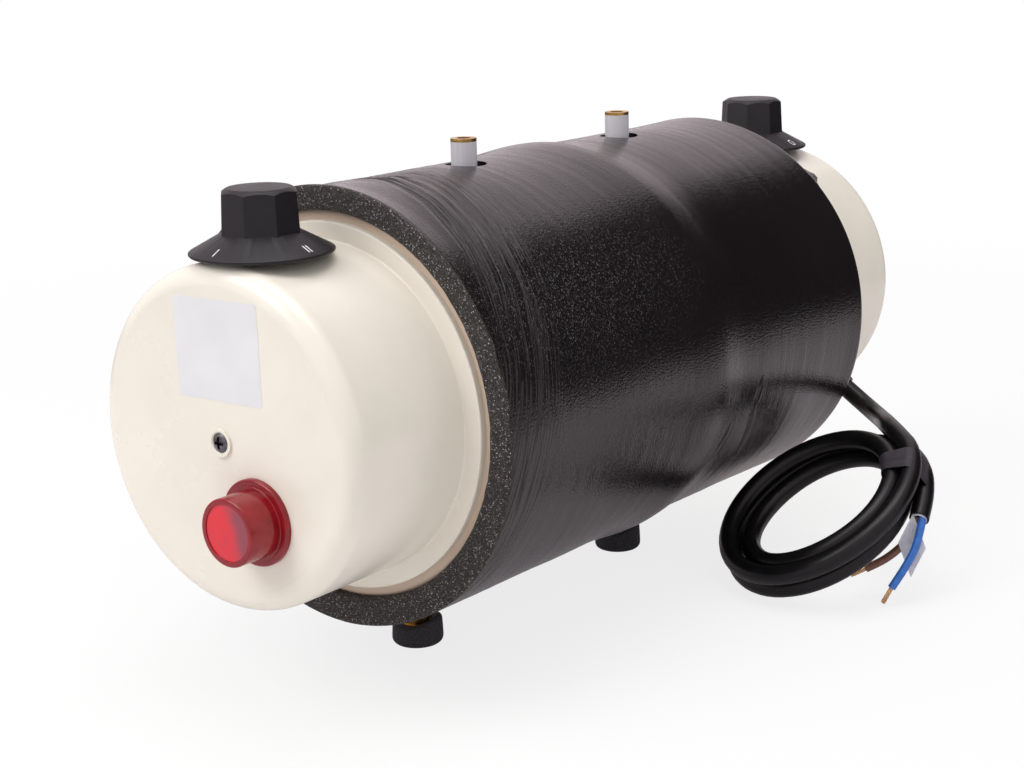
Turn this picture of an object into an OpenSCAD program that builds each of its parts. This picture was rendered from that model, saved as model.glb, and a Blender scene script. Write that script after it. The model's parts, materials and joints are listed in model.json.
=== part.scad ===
// Caravan water heater: a pressureless plastic boiler in a foam jacket, with a round end cap,
// a rotary dial and an electrics bay at each end, two hose spouts on top and two feet below.
// +Z is up, +Y runs from the front cap to the rear cap, and the floor is at z = 0.

/* [Body] */
// Length from the front cap's face to the rear cap's face
body_len = 370; // [350:1:400]
// Height of the boiler's axis above the floor
axis_h = 103; // [98:0.5:112]

/* [Tank] */
// Wall of the tank
tank_wall = 3.2; // [2.4:0.1:4.5]
// Thickness of the tank's end plates
plate_t = 5; // [4:0.1:8]
// How far the welded rim stands out where the two halves meet
weld_out = 1.6; // [0.8:0.1:2.4]
// Width of the welded rim on each half
weld_w = 3; // [2:0.1:5]
// Height of the ring on each end plate that centres the cap
ring_h = 3; // [2:0.1:5]
// Depth of the bosses inside the tank
boss_depth = 9; // [8:0.1:12]

/* [Foam jacket] */
// Length of the jacket
jacket_len = 244; // [225:1:248]
// How far the jacket's middle lies behind the tank's middle
jacket_shift = -7.7; // [-9:0.1:0]
// Outer diameter of the jacket
jacket_d = 162.4; // [154:0.2:172]
// Thickness of the foam
foam_t = 9.3; // [8:0.1:11]
// How far the slack jacket hangs below the tank's axis
jacket_drop = 1.4; // [0:0.1:2]
// Swell of the jacket over the welded rim
hump_out = 1.6; // [0.5:0.1:3]
// Flare of the jacket at its cut ends
flare_out = 0.9; // [0:0.1:2]

/* [End caps] */
// Depth of a cap from its face to the tank's end plate
cap_depth = 58.5; // [56:0.5:64]
// Wall of a cap
cap_wall = 2.6; // [2:0.1:3.2]
// Radius of the cap's rounded front edge
cap_edge = 7; // [5:0.5:10]
// How far a cap's flange stays inside the tank's edge
flange_step = 4; // [3:0.1:5.5]
// Width of a cap's flange outside the cap
flange_w = 6.9; // [5.5:0.1:8.5]
// Thickness of a cap's flange
flange_t = 2.6; // [2:0.1:4]
// Diameter of the raised ring round the cap's screw
collar_d = 10; // [9:0.1:13]
// Height of the raised ring round the cap's screw
collar_h = 0.9; // [0.5:0.1:1.5]
// Diameter of the boss behind the cap's screw
cap_boss_d = 11; // [10:0.1:14]
// Length of the boss behind the cap's screw
cap_boss_h = 6; // [4:0.1:9]
// Diameter of the cap screw's head
screw_head_d = 7; // [6.4:0.1:8]
// Diameter of the cap screw's thread
screw_d = 4; // [3.5:0.1:4.4]
// Width across the flats of the hexagon pillar that a cap is screwed to
pillar_af = 8; // [7:0.1:10]
// Length of the pillar's own thread in the tank
pillar_stud = 7; // [5:0.5:8]

/* [Spouts] */
// Outer diameter of the water pipes
pipe_d = 10; // [9:0.1:12]
// Wall of the water pipes
pipe_wall = 1.4; // [1:0.1:2]
// Distance between the two spouts
spout_pitch = 102; // [90:1:112]
// Height of a spout's top above the jacket
spout_out = 7.2; // [5:0.2:14]
// Diameter of the hole in the jacket round each spout
spout_hole_d = 17.6; // [17.2:0.1:20]
// Diameter of the tank's collar round each pipe
pipe_collar_d = 14.4; // [13:0.1:15]
// Height of that collar above the tank
pipe_collar_h = 2; // [1:0.1:4]
// Diameter of the pipe's shoulder on that collar
shoulder_d = 12; // [11.4:0.1:14]
// Height of that shoulder
shoulder_h = 1.5; // [1:0.1:3]
// Thickness of the brass sleeve's rim on top of the pipe
sleeve_rim = 1.2; // [0.8:0.1:2]
// Wall of the brass sleeve inside the pipe
sleeve_wall = 0.8; // [0.5:0.1:1]
// Length of the brass sleeve inside the pipe
sleeve_len = 14; // [8:0.5:20]
// Gap between the inlet pipe's lower end and the tank's floor
inlet_floor_gap = 12; // [6:0.5:25]
// How far the outlet pipe reaches below the top of the tank's space
outlet_reach = 6; // [5:0.5:15]

/* [Dials] */
// Distance of a dial's axis from its cap's face
dial_set = 24.4; // [22:0.1:28]
// Gap between the dial's skirt and the cap
dial_gap = 0.45; // [0.35:0.05:2]
// Diameter of the dial's skirt
skirt_d = 50; // [44:0.5:54]
// Height of the skirt's straight rim
rim_h = 1.5; // [1:0.1:3]
// Height at which the skirt meets the grip
skirt_h = 7.4; // [6.5:0.1:9]
// Height of the whole dial
dial_h = 22.6; // [21.5:0.1:27]
// Width across the flats of the eight-sided grip at its foot
grip_foot_af = 26.4; // [25:0.1:29]
// Width across the flats of the eight-sided grip at its top
grip_top_af = 25; // [24:0.1:28]
// Drop of the bevel round the grip's top
grip_bevel = 1.8; // [1:0.1:3]
// Wall of the hollow dial
dial_wall = 2; // [1.5:0.1:2.4]
// Diameter of the spindle that a dial turns
spindle_d = 6; // [5:0.1:6.4]
// Depth of the flat on the spindle
spindle_flat = 1.2; // [0.8:0.1:1.6]
// Diameter of the hub inside a dial
hub_d = 11; // [10:0.1:12]
// Diameter of the threaded bush that holds a control in its cap
bush_d = 9.8; // [9.4:0.1:10.6]
// Width across the flats of the nut on that bush
bush_nut_af = 12.6; // [12:0.1:14]
// Thickness of the nut on that bush
bush_nut_t = 2.2; // [1.8:0.1:2.6]

/* [Pilot lamp] */
// How far the lens stands out of the front cap
lamp_out = 15; // [10:0.5:18]
// Diameter of the lens
lens_d = 23.8; // [22.5:0.1:26]
// Wall of the lens
lens_wall = 1.3; // [1:0.1:1.6]
// Diameter of the lens's flange
lens_flange_d = 30.4; // [28:0.1:33]
// Thickness of the lens's flange
lens_flange_t = 2.2; // [1.5:0.1:3]
// Diameter of the spigot behind the flange
lens_spigot_d = 22; // [21:0.1:22.4]
// Lamp's place to the right of the front cap's centre, on the end's plan
lamp_x = 15.7; // [12:0.1:20]
// Lamp's place below the front cap's centre, on the end's plan
lamp_down = 25.3; // [22:0.1:30]

/* [Heaters] */
// Diameter of a heater's sheath
sheath_d = 6.4; // [5:0.1:6.8]
// Distance between the two legs of a heater
leg_pitch = 10; // [9.4:0.1:10.4]
// Length of a heater inside the tank
heater_len = 170; // [120:1:200]
// Distance of each heater from the upright middle plane, on the end's plan
heater_x = 18; // [16:0.5:20]
// Depth of the heaters below the axis, on the end's plan
heater_down = 34; // [30:0.5:36]
// Diameter of the plug that carries a heater
plug_d = 19.4; // [19:0.1:20]
// Width across the flats of a plug's head
plug_af = 24; // [23:0.1:26]
// Thickness of a plug's head
plug_head = 7; // [5:0.5:9]
// Thickness of the seal under a plug's head
seal_t = 1.6; // [1:0.1:2.5]

/* [Feet] */
// Diameter of a foot
foot_d = 19; // [17:0.5:24]
// Height of a foot, to its rim
foot_h = 8.6; // [7.5:0.1:12]
// Depth of the dish in a foot's top that the washer sits in
foot_dish = 1.6; // [1.2:0.1:2.4]
// Radius of a foot's lower edge
foot_edge = 3.4; // [2:0.1:4]
// Distance between the two feet
foot_pitch = 136; // [120:1:140]
// How far the feet's middle lies behind the tank's middle
foot_shift = -20.5; // [-24:0.5:-15]
// Width across the flats of a foot's brass pillar
foot_pillar_af = 9; // [8.6:0.1:10]
// Diameter of the pillar's washer on top of the foot
foot_washer_d = 11.6; // [11:0.1:13]
// Thickness of that washer
foot_washer_t = 1.2; // [0.8:0.1:2]
// Diameter of the pillar's spigot inside the foot
foot_spigot_d = 8; // [7:0.1:9]
// Core diameter of the thread in the pillar's lower end
fixing_d = 5; // [4:0.1:5.4]
// Depth of the thread in the pillar's lower end
fixing_depth = 14; // [10:0.5:16]

/* [Mains flex] */
// Diameter of the flex
flex_d = 7.8; // [6.4:0.1:8]
// Diameter of a core's insulation
core_d = 3; // [2:0.1:3.1]
// Diameter of a core's bare strands
strand_d = 1.8; // [1:0.1:2]
// Turns of the coil
coil_turns = 3; // [1:2:5]
// Radius of the coil's outer turn, to the middle of the flex
coil_r = 46.3; // [42:0.1:50]
// Step from one turn to the next
coil_step = 8.75; // [8.5:0.05:10]
// Angle round the cap at which the flex leaves, from the top
gland_angle = 124; // [116:0.5:130]
// Distance of the flex's grommet from the rear cap's face
gland_set = 45; // [38:0.5:45]
// Length of the grommet's tapered nose
gland_nose = 12; // [8:0.5:16]

/* [Fits] */
// Radial running clearance of a spindle in its bush
run_fit = 0.05; // [0.02:0.01:0.09]
// Radial clearance of a piece in its hole
hole_fit = 0.15; // [0.1:0.01:0.3]
// Clearance of the foam jacket round the tank
foam_fit = 0.2; // [0.1:0.05:0.4]

/* [Hidden] */
$fn = 96;
tiny = 0.01;

// Places along the axis, from the body's middle
mid_y = lamp_out / 2;
end_y = body_len / 2;
seat_y = end_y - cap_depth;
dial_y = end_y - dial_set;
gland_y = end_y - gland_set;

// Radii where a cap's flange meets the cap, and at the flange's edge
flange_root = 0.8;
flange_edge = 0.6;

// Diameters and a height that follow from the jacket's, outermost first
tank_d = jacket_d - 2 * (foam_t + foam_fit);
flange_d = tank_d - 2 * flange_step;
cap_d = flange_d - 2 * flange_w;
spout_top = jacket_d / 2 + spout_out;

// Radii and levels round the axis
tank_r = tank_d / 2;
cap_r = cap_d / 2;
cap_in_r = cap_r - cap_wall;
space_r = tank_r - tank_wall;
space_y = seat_y - plate_t;
ring_r = cap_in_r - hole_fit;
ring_w = 2.4;
space_edge = 8;
tank_edge = 1.5;
face_y = end_y - cap_wall;
boss_d = 16;

// The end's plan: the fittings' places are laid out for a cap of this inner radius, and follow the cap
plan_r = 58.2;
plan = cap_in_r / plan_r;
heater_px = heater_x * plan;
heater_pz = heater_down * plan;
lamp_px = lamp_x * plan;
lamp_pz = lamp_down * plan;

// Seats for the controls and the grommet in a cap's curved wall
spot_depth = 0.7;
spot_d = 17;
spot_r = cap_r - spot_depth;
pad_d = 20;
pad_r = cap_in_r - 2;
bush_top = spot_r + bush_nut_t + 1.6;
dial_z = cap_r + dial_gap;
hub_z = bush_top + 0.8 - dial_z;
spindle_top = dial_h - 4.6;
control_w = 30;
control_h = 24;
bellows_d = 15;
control_z = pad_r - control_h;
bearing_depth = 6;

// The screw and the pillar in the middle of each end
sink_d = screw_head_d + 1;
sink_h = (sink_d - screw_d) / 2;
screw_len = 16;
pillar_top = face_y - cap_boss_h;
pillar_stud_d = 5;
pillar_bore = 14;

// The heaters' plugs and terminals
plug_depth = plate_t + 4;
terminal_len = 10;
terminal_d = 4;

// The thermowell and its bulb in the rear end plate
well_d = 9;
well_wall = 1;
well_len = 110;
well_x = -14 * plan;
well_up = 16 * plan;
well_af = 13;
well_head = 5;
bulb_d = 6;
bulb_len = 76;
bulb_set = 8;
capillary_d = 2;

// The cut-out and the terminal block on the rear end plate
cutout_x = 19 * plan;
cutout_z = 8 * plan;
cutout_d = 17;
cutout_h = 9;
strap_t = 1;
strap_w = 8;
strap_pitch = 25;
block_z = -34 * plan;
block_w = 34;
block_h = 14;
block_t = 17;
block_poles = 3;
block_pitch = 10;

// The feet's levels above the floor
foot_sole = 4;
foot_seat = foot_h - foot_dish;
foot_rim = 1.5;
tank_pad_d = 15.4;
tank_pad = 0.6;
pad_level = axis_h - tank_r - tank_pad;
foot_stud_d = 6;
foot_stud = 6;
foot_hole_d = 16.4;

// The lamp's holder and nut inside the front cap
lens_spigot = 9;
lamp_nut_t = 4;
lamp_nut_d = 28;
holder_len = 15;
holder_step = 4;
glow_d = 6;
glow_len = 7;
tab_len = 7;
lens_depth = cap_wall + lens_spigot + lamp_out - lens_wall;

// The grommet in the rear cap's wall
grommet_d = 13;
grommet_tip_d = flex_d + 2.4;
grommet_flange_d = 16;
grommet_flange_t = 2.4;
grommet_nut_t = 4;
grommet_nut_af = 18;
grommet_len = 12;
grommet_tip_r = spot_r + grommet_flange_t + gland_nose;

// Directions of the leaning coil: across, up its slope, and out of its face
coil_lean = 28.5;
coil_roll = 16.5;
coil_oval = 0.95;
coil_u = [cos(coil_roll), 0, sin(coil_roll)];
coil_n = [-sin(coil_roll) * cos(coil_lean), -sin(coil_lean), cos(coil_lean) * cos(coil_roll)];
coil_v = cross(coil_n, coil_u);
coil_start = 45;
coil_rings = 24;
coil_low = min([for (p = coil_line(coil_rings, [0, 0, 0])) p[2]]) - flex_d / 2;
coil_mid = [93.2, 67.5, 0.3 - coil_low];
coil_way = unit(coil_oval * sin(coil_start) * coil_u - cos(coil_start) * coil_v);
coil_side = unit(coil_oval * cos(coil_start) * coil_u + sin(coil_start) * coil_v);
coil_in = coil_at(0, coil_mid) - flex_d * coil_way;
coil_out = coil_at(1, coil_mid);

// Route of the flex from the grommet to the coil: off the straight line between them by these bends
gland_dir = [sin(gland_angle), 0, cos(gland_angle)];
gland_mid = [0, mid_y + gland_y, axis_h];
flex_start = gland_mid + grommet_tip_r * gland_dir;
lead_bends = [
    [7.93, 4.56, -7.87], [9.13, 6.62, -9.9], [8.83, 5.17, -8.43], [6.53, 3.23, -4.46], [2.23, 3.29, -0.99]
];
lead_route = concat(
    [flex_start, flex_start + flex_d * gland_dir],
    [for (i = [0:4]) let (t = (i + 1) / 6) flex_start * (1 - t) + coil_in * t + lead_bends[i]],
    [coil_in - 0.9 * flex_d * coil_way, coil_in]
);

// Route of the flex from the coil to its cut end, and of each core from there to the tip of its strands
tail_bends = [
    [0, 0, 0], [2.96, -2.55, -0.57], [6.38, -5.96, -1.76], [12.25, -13.65, -4.4], [16.62, -22.52, -9.75],
    [19.26, -31.63, -15.78]
];
tail_route = [for (p = tail_bends) coil_out + p];
tail_end = tail_route[len(tail_route) - 1];
tail_dir = unit(tail_end - tail_route[len(tail_route) - 2]);
tail_side = unit(cross(tail_dir, [0, 1, 0]));
core_set = 1.6;
blue_route = [for (p = [
    core_set * tail_side, [1.5, -1.98, -4.31], [1.13, -5.7, -11.31], [-1.15, -9.94, -18.51],
    [-4.58, -13.62, -26.11], [-7.7, -14.7, -32.6]
]) tail_end + p];
brown_route = [for (p = [
    -core_set * tail_side, [-2.72, -1.31, -6.11], [-6.83, -1.57, -12.51], [-12.42, -4.3, -18.11],
    [-19.13, -7.6, -22.51], [-24.13, -10.89, -25.31]
]) tail_end + p];

// Vectors
function unit(v) = v / norm(v);
// A smooth curve through the points p, at stretch i and share t of it
function curve_at(p, i, t) =
    let (a = p[max(i - 1, 0)], b = p[i], c = p[i + 1], d = p[min(i + 2, len(p) - 1)])
    0.5 * (2 * b + (c - a) * t + (2 * a - 5 * b + 4 * c - d) * t * t + (3 * b - a - 3 * c + d) * t * t * t);
function curve(p, steps) = concat(
    [for (i = [0:len(p) - 2]) for (k = [0:steps - 1]) curve_at(p, i, k / steps)],
    [p[len(p) - 1]]
);

// The coil's middle line, from 0 to 1: in on the upper layer, down where the spiral turns, out on the lower
function coil_radius(s) = coil_r - coil_step * coil_turns * min(s, 1 - s);
function coil_layer(s) =
    let (c = (0.5 - s) * coil_turns * 2)
    coil_step / 2 * (c < -0.5 ? -1 : c > 0.5 ? 1 : sin(c * 180));
function coil_at(s, mid) =
    let (a = coil_start - 360 * coil_turns * s, r = coil_radius(s))
    mid + coil_oval * r * cos(a) * coil_u + r * sin(a) * coil_v + coil_layer(s) * coil_n;
function coil_line(n, mid) = [for (k = [0:n * coil_turns]) coil_at(k / (n * coil_turns), mid)];
coil_points = coil_line(coil_rings, coil_mid);
coil_path = concat([coil_in], coil_points);

// Least gap between turns of the coil, on points at least half a turn apart
gap_points = coil_line(60, coil_mid);
coil_gap = min([for (i = [0:len(gap_points) - 1]) for (k = [i + 30:1:len(gap_points) - 1])
    norm(gap_points[i] - gap_points[k])]) - flex_d;
echo(coil_gap = coil_gap);

// A round tube along the points of a path, with flat ends square to the given directions
module tube(path, d, sides, ref, from, to) {
    n = len(path);
    rings = [for (i = [0:n - 1])
        let (
            t = i == 0 ? from : i == n - 1 ? to : unit(path[i + 1] - path[i - 1]),
            a = unit(cross(ref, t)),
            b = cross(t, a)
        )
        for (k = [0:sides - 1])
            path[i] + d / 2 * (cos(360 * k / sides) * a + sin(360 * k / sides) * b)
    ];
    ends = [path[0], path[n - 1]];
    walls = [for (i = [0:n - 2]) for (k = [0:sides - 1])
        let (p = i * sides + k, q = i * sides + (k + 1) % sides)
        each [[p, p + sides, q], [q, p + sides, q + sides]]
    ];
    first = [for (k = [0:sides - 1]) [n * sides, k, (k + 1) % sides]];
    last = [for (k = [0:sides - 1])
        [n * sides + 1, (n - 1) * sides + (k + 1) % sides, (n - 1) * sides + k]];
    polyhedron(concat(rings, ends), concat(walls, first, last));
}

// The two ends: each is modelled facing -Y, and the rear one is turned half round
module front_end() {
    translate([0, mid_y, axis_h])
        children();
}
module rear_end() {
    translate([0, mid_y, axis_h])
        rotate([0, 0, 180])
            children();
}

// A profile turned round the axis, with its height measured outwards from the body's middle
module turned() {
    rotate([90, 0, 0])
        rotate_extrude()
            children();
}

// Something that stands on an end plate, at x and z, with its height measured from the middle
module facing(x, z, y) {
    translate([x, -y, z])
        rotate([90, 0, 0])
            children();
}

// The waste outside a rounded corner of radius r
module corner_waste(r) {
    difference() {
        square(r + 1);
        circle(r);
    }
}

// A hexagon bar by its width across the flats
module hex_bar(af, h) {
    cylinder(d = af / cos(30), h = h, $fn = 6);
}

// The foam's outer radius at a place along the axis, from the tank's middle
function jacket_r(y) =
    let (from_end = jacket_len / 2 - abs(y - jacket_shift))
    jacket_d / 2 + hump_out * exp(-(y / 15) * (y / 15)) + flare_out * exp(-from_end / 8);

// Tank
module tank_half(foot_y) {
    difference() {
        union() {
            turned() {
                difference() {
                    union() {
                        square([tank_r, seat_y]);
                        square([tank_r + weld_out, weld_w]);
                        translate([ring_r - ring_w, seat_y - tiny])
                            square([ring_w, ring_h + tiny]);
                    }
                    difference() {
                        translate([-1, -1])
                            square([space_r + 1, space_y + 1]);
                        translate([space_r - space_edge, space_y - space_edge])
                            corner_waste(space_edge);
                    }
                    translate([tank_r - tank_edge, seat_y - tank_edge])
                        corner_waste(tank_edge);
                }
            }
            translate([0, -spout_pitch / 2, space_r - 2])
                cylinder(d = pipe_collar_d, h = tank_wall + 2 + pipe_collar_h);
            translate([0, foot_y, -tank_r - tank_pad])
                cylinder(d = tank_pad_d, h = tank_wall + tank_pad + boss_depth);
            facing(0, 0, space_y - boss_depth + 1)
                cylinder(d = boss_d, h = boss_depth);
            children();
        }
        translate([0, -spout_pitch / 2, space_r - 3])
            cylinder(d = pipe_d + 2 * hole_fit, h = tank_wall + pipe_collar_h + 4);
        translate([0, foot_y, -tank_r - tank_pad - 1])
            cylinder(d = foot_stud_d + 2 * hole_fit, h = foot_stud + 1.5);
        facing(0, 0, seat_y - pillar_stud - 0.5)
            cylinder(d = pillar_stud_d + 2 * hole_fit, h = pillar_stud + 1);
    }
}
module tank_front() {
    color("antiquewhite")
        front_end()
            difference() {
                tank_half(foot_shift - foot_pitch / 2)
                    for (s = [-1, 1])
                        facing(s * heater_px, -heater_pz, space_y - 4)
                            cylinder(d = plug_d + 7, h = 5);
                for (s = [-1, 1])
                    facing(s * heater_px, -heater_pz, space_y - 5)
                        cylinder(d = plug_d + 2 * hole_fit, h = plate_t + 6);
            }
}
module tank_rear() {
    color("antiquewhite")
        rear_end()
            difference() {
                tank_half(-foot_shift - foot_pitch / 2)
                    facing(well_x, well_up, space_y - 4)
                        cylinder(d = well_d + 6, h = 5);
                facing(well_x, well_up, space_y - 5)
                    cylinder(d = well_d + 2 * hole_fit, h = plate_t + 6);
                for (s = [-1, 1])
                    facing(cutout_x, cutout_z + s * strap_pitch / 2, seat_y - 3.5)
                        cylinder(d = 2.6, h = 4);
            }
}

// Water pipes: the inlet reaches the tank's floor and the outlet ends below its top
module water_pipe(lower_end) {
    translate([0, -spout_pitch / 2, lower_end])
        difference() {
            union() {
                cylinder(d = pipe_d, h = spout_top - sleeve_rim - lower_end);
                translate([0, 0, tank_r + pipe_collar_h - lower_end])
                    cylinder(d = shoulder_d, h = shoulder_h);
            }
            translate([0, 0, -1])
                cylinder(d = pipe_d - 2 * pipe_wall, h = spout_top - lower_end + 2);
        }
}
module inlet_pipe() {
    color("gainsboro")
        front_end()
            water_pipe(inlet_floor_gap - space_r);
}
module outlet_pipe() {
    color("gainsboro")
        rear_end()
            water_pipe(space_r - outlet_reach);
}
module pipe_sleeve() {
    outer = pipe_d - 2 * pipe_wall - 2 * hole_fit;
    translate([0, -spout_pitch / 2, spout_top - sleeve_rim])
        difference() {
            union() {
                cylinder(d = pipe_d, h = sleeve_rim);
                translate([0, 0, -sleeve_len])
                    cylinder(d = outer, h = sleeve_len + tiny);
            }
            translate([0, 0, -sleeve_len - 1])
                cylinder(d = outer - 2 * sleeve_wall, h = sleeve_len + sleeve_rim + 2);
        }
}
module inlet_sleeve() {
    color("goldenrod")
        front_end()
            pipe_sleeve();
}
module outlet_sleeve() {
    color("goldenrod")
        rear_end()
            pipe_sleeve();
}

// Heaters: a hairpin of sheathed tube in a hexagon plug, with a seal under the plug's head
module heater(side) {
    facing(side * heater_px, -heater_pz, seat_y)
        for (leg = [-1, 1]) {
            translate([leg * leg_pitch / 2, 0, -heater_len])
                cylinder(d = sheath_d, h = heater_len + seal_t + plug_head + 2);
            translate([leg * leg_pitch / 2, 0, seal_t + plug_head + 2 - tiny])
                cylinder(d = terminal_d, h = terminal_len);
        }
    facing(side * heater_px, -heater_pz, seat_y - heater_len)
        rotate([-90, 0, 0])
            rotate_extrude(angle = 180)
                translate([leg_pitch / 2, 0])
                    circle(d = sheath_d);
}
module heater_plug(side) {
    facing(side * heater_px, -heater_pz, seat_y)
        difference() {
            union() {
                translate([0, 0, seal_t])
                    hex_bar(plug_af, plug_head);
                translate([0, 0, -plug_depth])
                    cylinder(d = plug_d, h = plug_depth + seal_t + tiny);
            }
            for (leg = [-1, 1])
                translate([leg * leg_pitch / 2, 0, -plug_depth - 1])
                    cylinder(d = sheath_d + 2 * run_fit, h = plug_depth + seal_t + plug_head + 2);
        }
}
module heater_seal(side) {
    facing(side * heater_px, -heater_pz, seat_y)
        difference() {
            cylinder(d = plug_af - 0.4, h = seal_t);
            translate([0, 0, -1])
                cylinder(d = plug_d + 2 * hole_fit, h = seal_t + 2);
        }
}
module left_heater() {
    color("lightsteelblue")
        front_end()
            heater(-1);
}
module right_heater() {
    color("lightsteelblue")
        front_end()
            heater(1);
}
module left_heater_plug() {
    color("goldenrod")
        front_end()
            heater_plug(-1);
}
module right_heater_plug() {
    color("goldenrod")
        front_end()
            heater_plug(1);
}
module left_heater_seal() {
    color("dimgray")
        front_end()
            heater_seal(-1);
}
module right_heater_seal() {
    color("dimgray")
        front_end()
            heater_seal(1);
}

// Thermowell, and the bulb and capillary of the thermostat
module thermowell() {
    color("goldenrod")
        rear_end()
            facing(well_x, well_up, seat_y)
                difference() {
                    union() {
                        hex_bar(well_af, well_head);
                        translate([0, 0, -well_len])
                            cylinder(d = well_d, h = well_len + tiny);
                    }
                    translate([0, 0, -well_len + well_wall])
                        cylinder(d = well_d - 2 * well_wall, h = well_len + well_head + 1);
                }
}
module thermostat_bulb() {
    color("peru")
        rear_end()
            facing(well_x, well_up - (well_d / 2 - well_wall - bulb_d / 2 - run_fit), seat_y - bulb_len - bulb_set)
                cylinder(d = bulb_d, h = bulb_len);
}
module capillary() {
    bulb_end = [well_x, bulb_set - seat_y, well_up - (well_d / 2 - well_wall - bulb_d / 2 - run_fit)];
    body_end = [-6, control_w / 2 - dial_y, control_z + 6];
    route = [
        bulb_end, bulb_end + [0, -10, 0], [well_x - 1, -seat_y - 9, well_up + 1],
        [well_x + 1, -seat_y - 11, well_up + 10],
        body_end + [0, 6, 0], body_end
    ];
    color("peru")
        rear_end()
            tube(curve(route, 4), capillary_d, 8, [1, 0, 0], [0, -1, 0], [0, -1, 0]);
}

// Foam jacket: a slack sleeve with holes for the spouts and the feet
module foam_jacket() {
    ends = [jacket_shift - jacket_len / 2, jacket_shift + jacket_len / 2];
    steps = 48;
    skin = [for (k = [0:steps])
        let (y = ends[0] + (ends[1] - ends[0]) * k / steps)
        [jacket_r(y), y]
    ];
    color("dimgray")
        translate([0, mid_y, axis_h])
            difference() {
                translate([0, 0, -jacket_drop])
                    rotate([-90, 0, 0])
                        rotate_extrude()
                            polygon(concat([[0, ends[0]]], skin, [[0, ends[1]]]));
                rotate([-90, 0, 0])
                    translate([0, 0, ends[0] - 1])
                        cylinder(r = tank_r + foam_fit, h = jacket_len + 2);
                rotate([-90, 0, 0])
                    translate([0, 0, -weld_w - 1])
                        cylinder(r = tank_r + weld_out + foam_fit, h = 2 * weld_w + 2);
                for (s = [-1, 1]) {
                    translate([0, s * spout_pitch / 2, tank_r - 5])
                        cylinder(d = spout_hole_d, h = jacket_d / 2);
                    translate([0, foot_shift + s * foot_pitch / 2, -tank_r + 5])
                        mirror([0, 0, 1])
                            cylinder(d = foot_hole_d, h = jacket_d / 2);
                }
            }
}

// End caps: a turned shell with a flange, and seats for the control, the lamp and the grommet
module cap_shell() {
    difference() {
        union() {
            turned() {
                difference() {
                    union() {
                        translate([0, seat_y])
                            square([cap_r, cap_depth]);
                        translate([0, seat_y])
                            square([flange_d / 2, flange_t]);
                        translate([cap_r - tiny, seat_y + flange_t - tiny])
                            difference() {
                                square(flange_root);
                                translate([flange_root, flange_root])
                                    circle(flange_root);
                            }
                        translate([0, end_y - tiny])
                            square([collar_d / 2, collar_h]);
                    }
                    difference() {
                        translate([-1, seat_y - 1])
                            square([cap_in_r + 1, face_y - seat_y + 1]);
                        translate([cap_in_r - cap_edge + cap_wall, face_y - cap_edge + cap_wall])
                            corner_waste(cap_edge - cap_wall);
                    }
                    translate([cap_r - cap_edge, end_y - cap_edge])
                        corner_waste(cap_edge);
                    translate([flange_d / 2 - flange_edge, seat_y + flange_t - flange_edge])
                        corner_waste(flange_edge);
                }
            }
            facing(0, 0, pillar_top)
                cylinder(d = cap_boss_d, h = cap_boss_h + 1);
            translate([0, -dial_y, pad_r])
                cylinder(d = pad_d, h = cap_in_r - pad_r + 0.5);
            children();
        }
        facing(0, 0, pillar_top - 1)
            cylinder(d = screw_d + 2 * hole_fit, h = cap_depth);
        facing(0, 0, end_y + collar_h - sink_h)
            cylinder(d1 = screw_d, d2 = sink_d + tiny, h = sink_h + tiny);
        translate([0, -dial_y, spot_r])
            cylinder(d = spot_d, h = 5);
        translate([0, -dial_y, pad_r - 1])
            cylinder(d = bush_d + 2 * hole_fit, h = 10);
    }
}
module front_cap() {
    color("oldlace")
        front_end()
            difference() {
                cap_shell();
                facing(lamp_px, -lamp_pz, face_y - 5)
                    cylinder(d = lens_spigot_d + 2 * hole_fit, h = 10);
            }
}
module rear_cap() {
    color("oldlace")
        rear_end()
            difference() {
                cap_shell()
                    gland_axis()
                        translate([0, 0, pad_r])
                            cylinder(d = pad_d, h = cap_in_r - pad_r + 0.5);
                gland_axis()
                    translate([0, 0, spot_r])
                        cylinder(d = spot_d, h = 5);
                gland_axis()
                    translate([0, 0, pad_r - 1])
                        cylinder(d = grommet_d + 2 * hole_fit, h = 10);
            }
}

// Cap screws and the pillars that they go into
module cap_screw() {
    head_y = end_y + collar_h - sink_h + run_fit;
    slot = [1.2, 4.4, 2.4];
    facing(0, 0, head_y)
        difference() {
            union() {
                translate([0, 0, screw_head_d / 2 - screw_d / 2 + tiny])
                    intersection() {
                        cylinder(d = screw_head_d, h = 2);
                        translate([0, 0, -screw_head_d * 0.7])
                            sphere(r = screw_head_d * 0.86);
                    }
                cylinder(d1 = screw_d, d2 = screw_head_d, h = (screw_head_d - screw_d) / 2 + 2 * tiny);
                translate([0, 0, -screw_len])
                    cylinder(d = screw_d, h = screw_len + tiny);
            }
            for (turn = [0, 90])
                rotate([0, 0, turn])
                    translate([-slot[0] / 2, -slot[1] / 2, (screw_head_d - screw_d) / 2 - 0.8])
                        cube(slot);
        }
}
module cap_pillar() {
    difference() {
        union() {
            facing(0, 0, seat_y)
                hex_bar(pillar_af, pillar_top - seat_y);
            facing(0, 0, seat_y - pillar_stud)
                cylinder(d = pillar_stud_d, h = pillar_stud + tiny);
        }
        facing(0, 0, pillar_top - pillar_bore)
            cylinder(d = screw_d + 2 * run_fit, h = pillar_bore + 1);
    }
}
module front_cap_screw() {
    color("dimgray")
        front_end()
            cap_screw();
}
module rear_cap_screw() {
    color("dimgray")
        rear_end()
            cap_screw();
}
module front_pillar() {
    color("goldenrod")
        front_end()
            cap_pillar();
}
module rear_pillar() {
    color("goldenrod")
        rear_end()
            cap_pillar();
}

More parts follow.
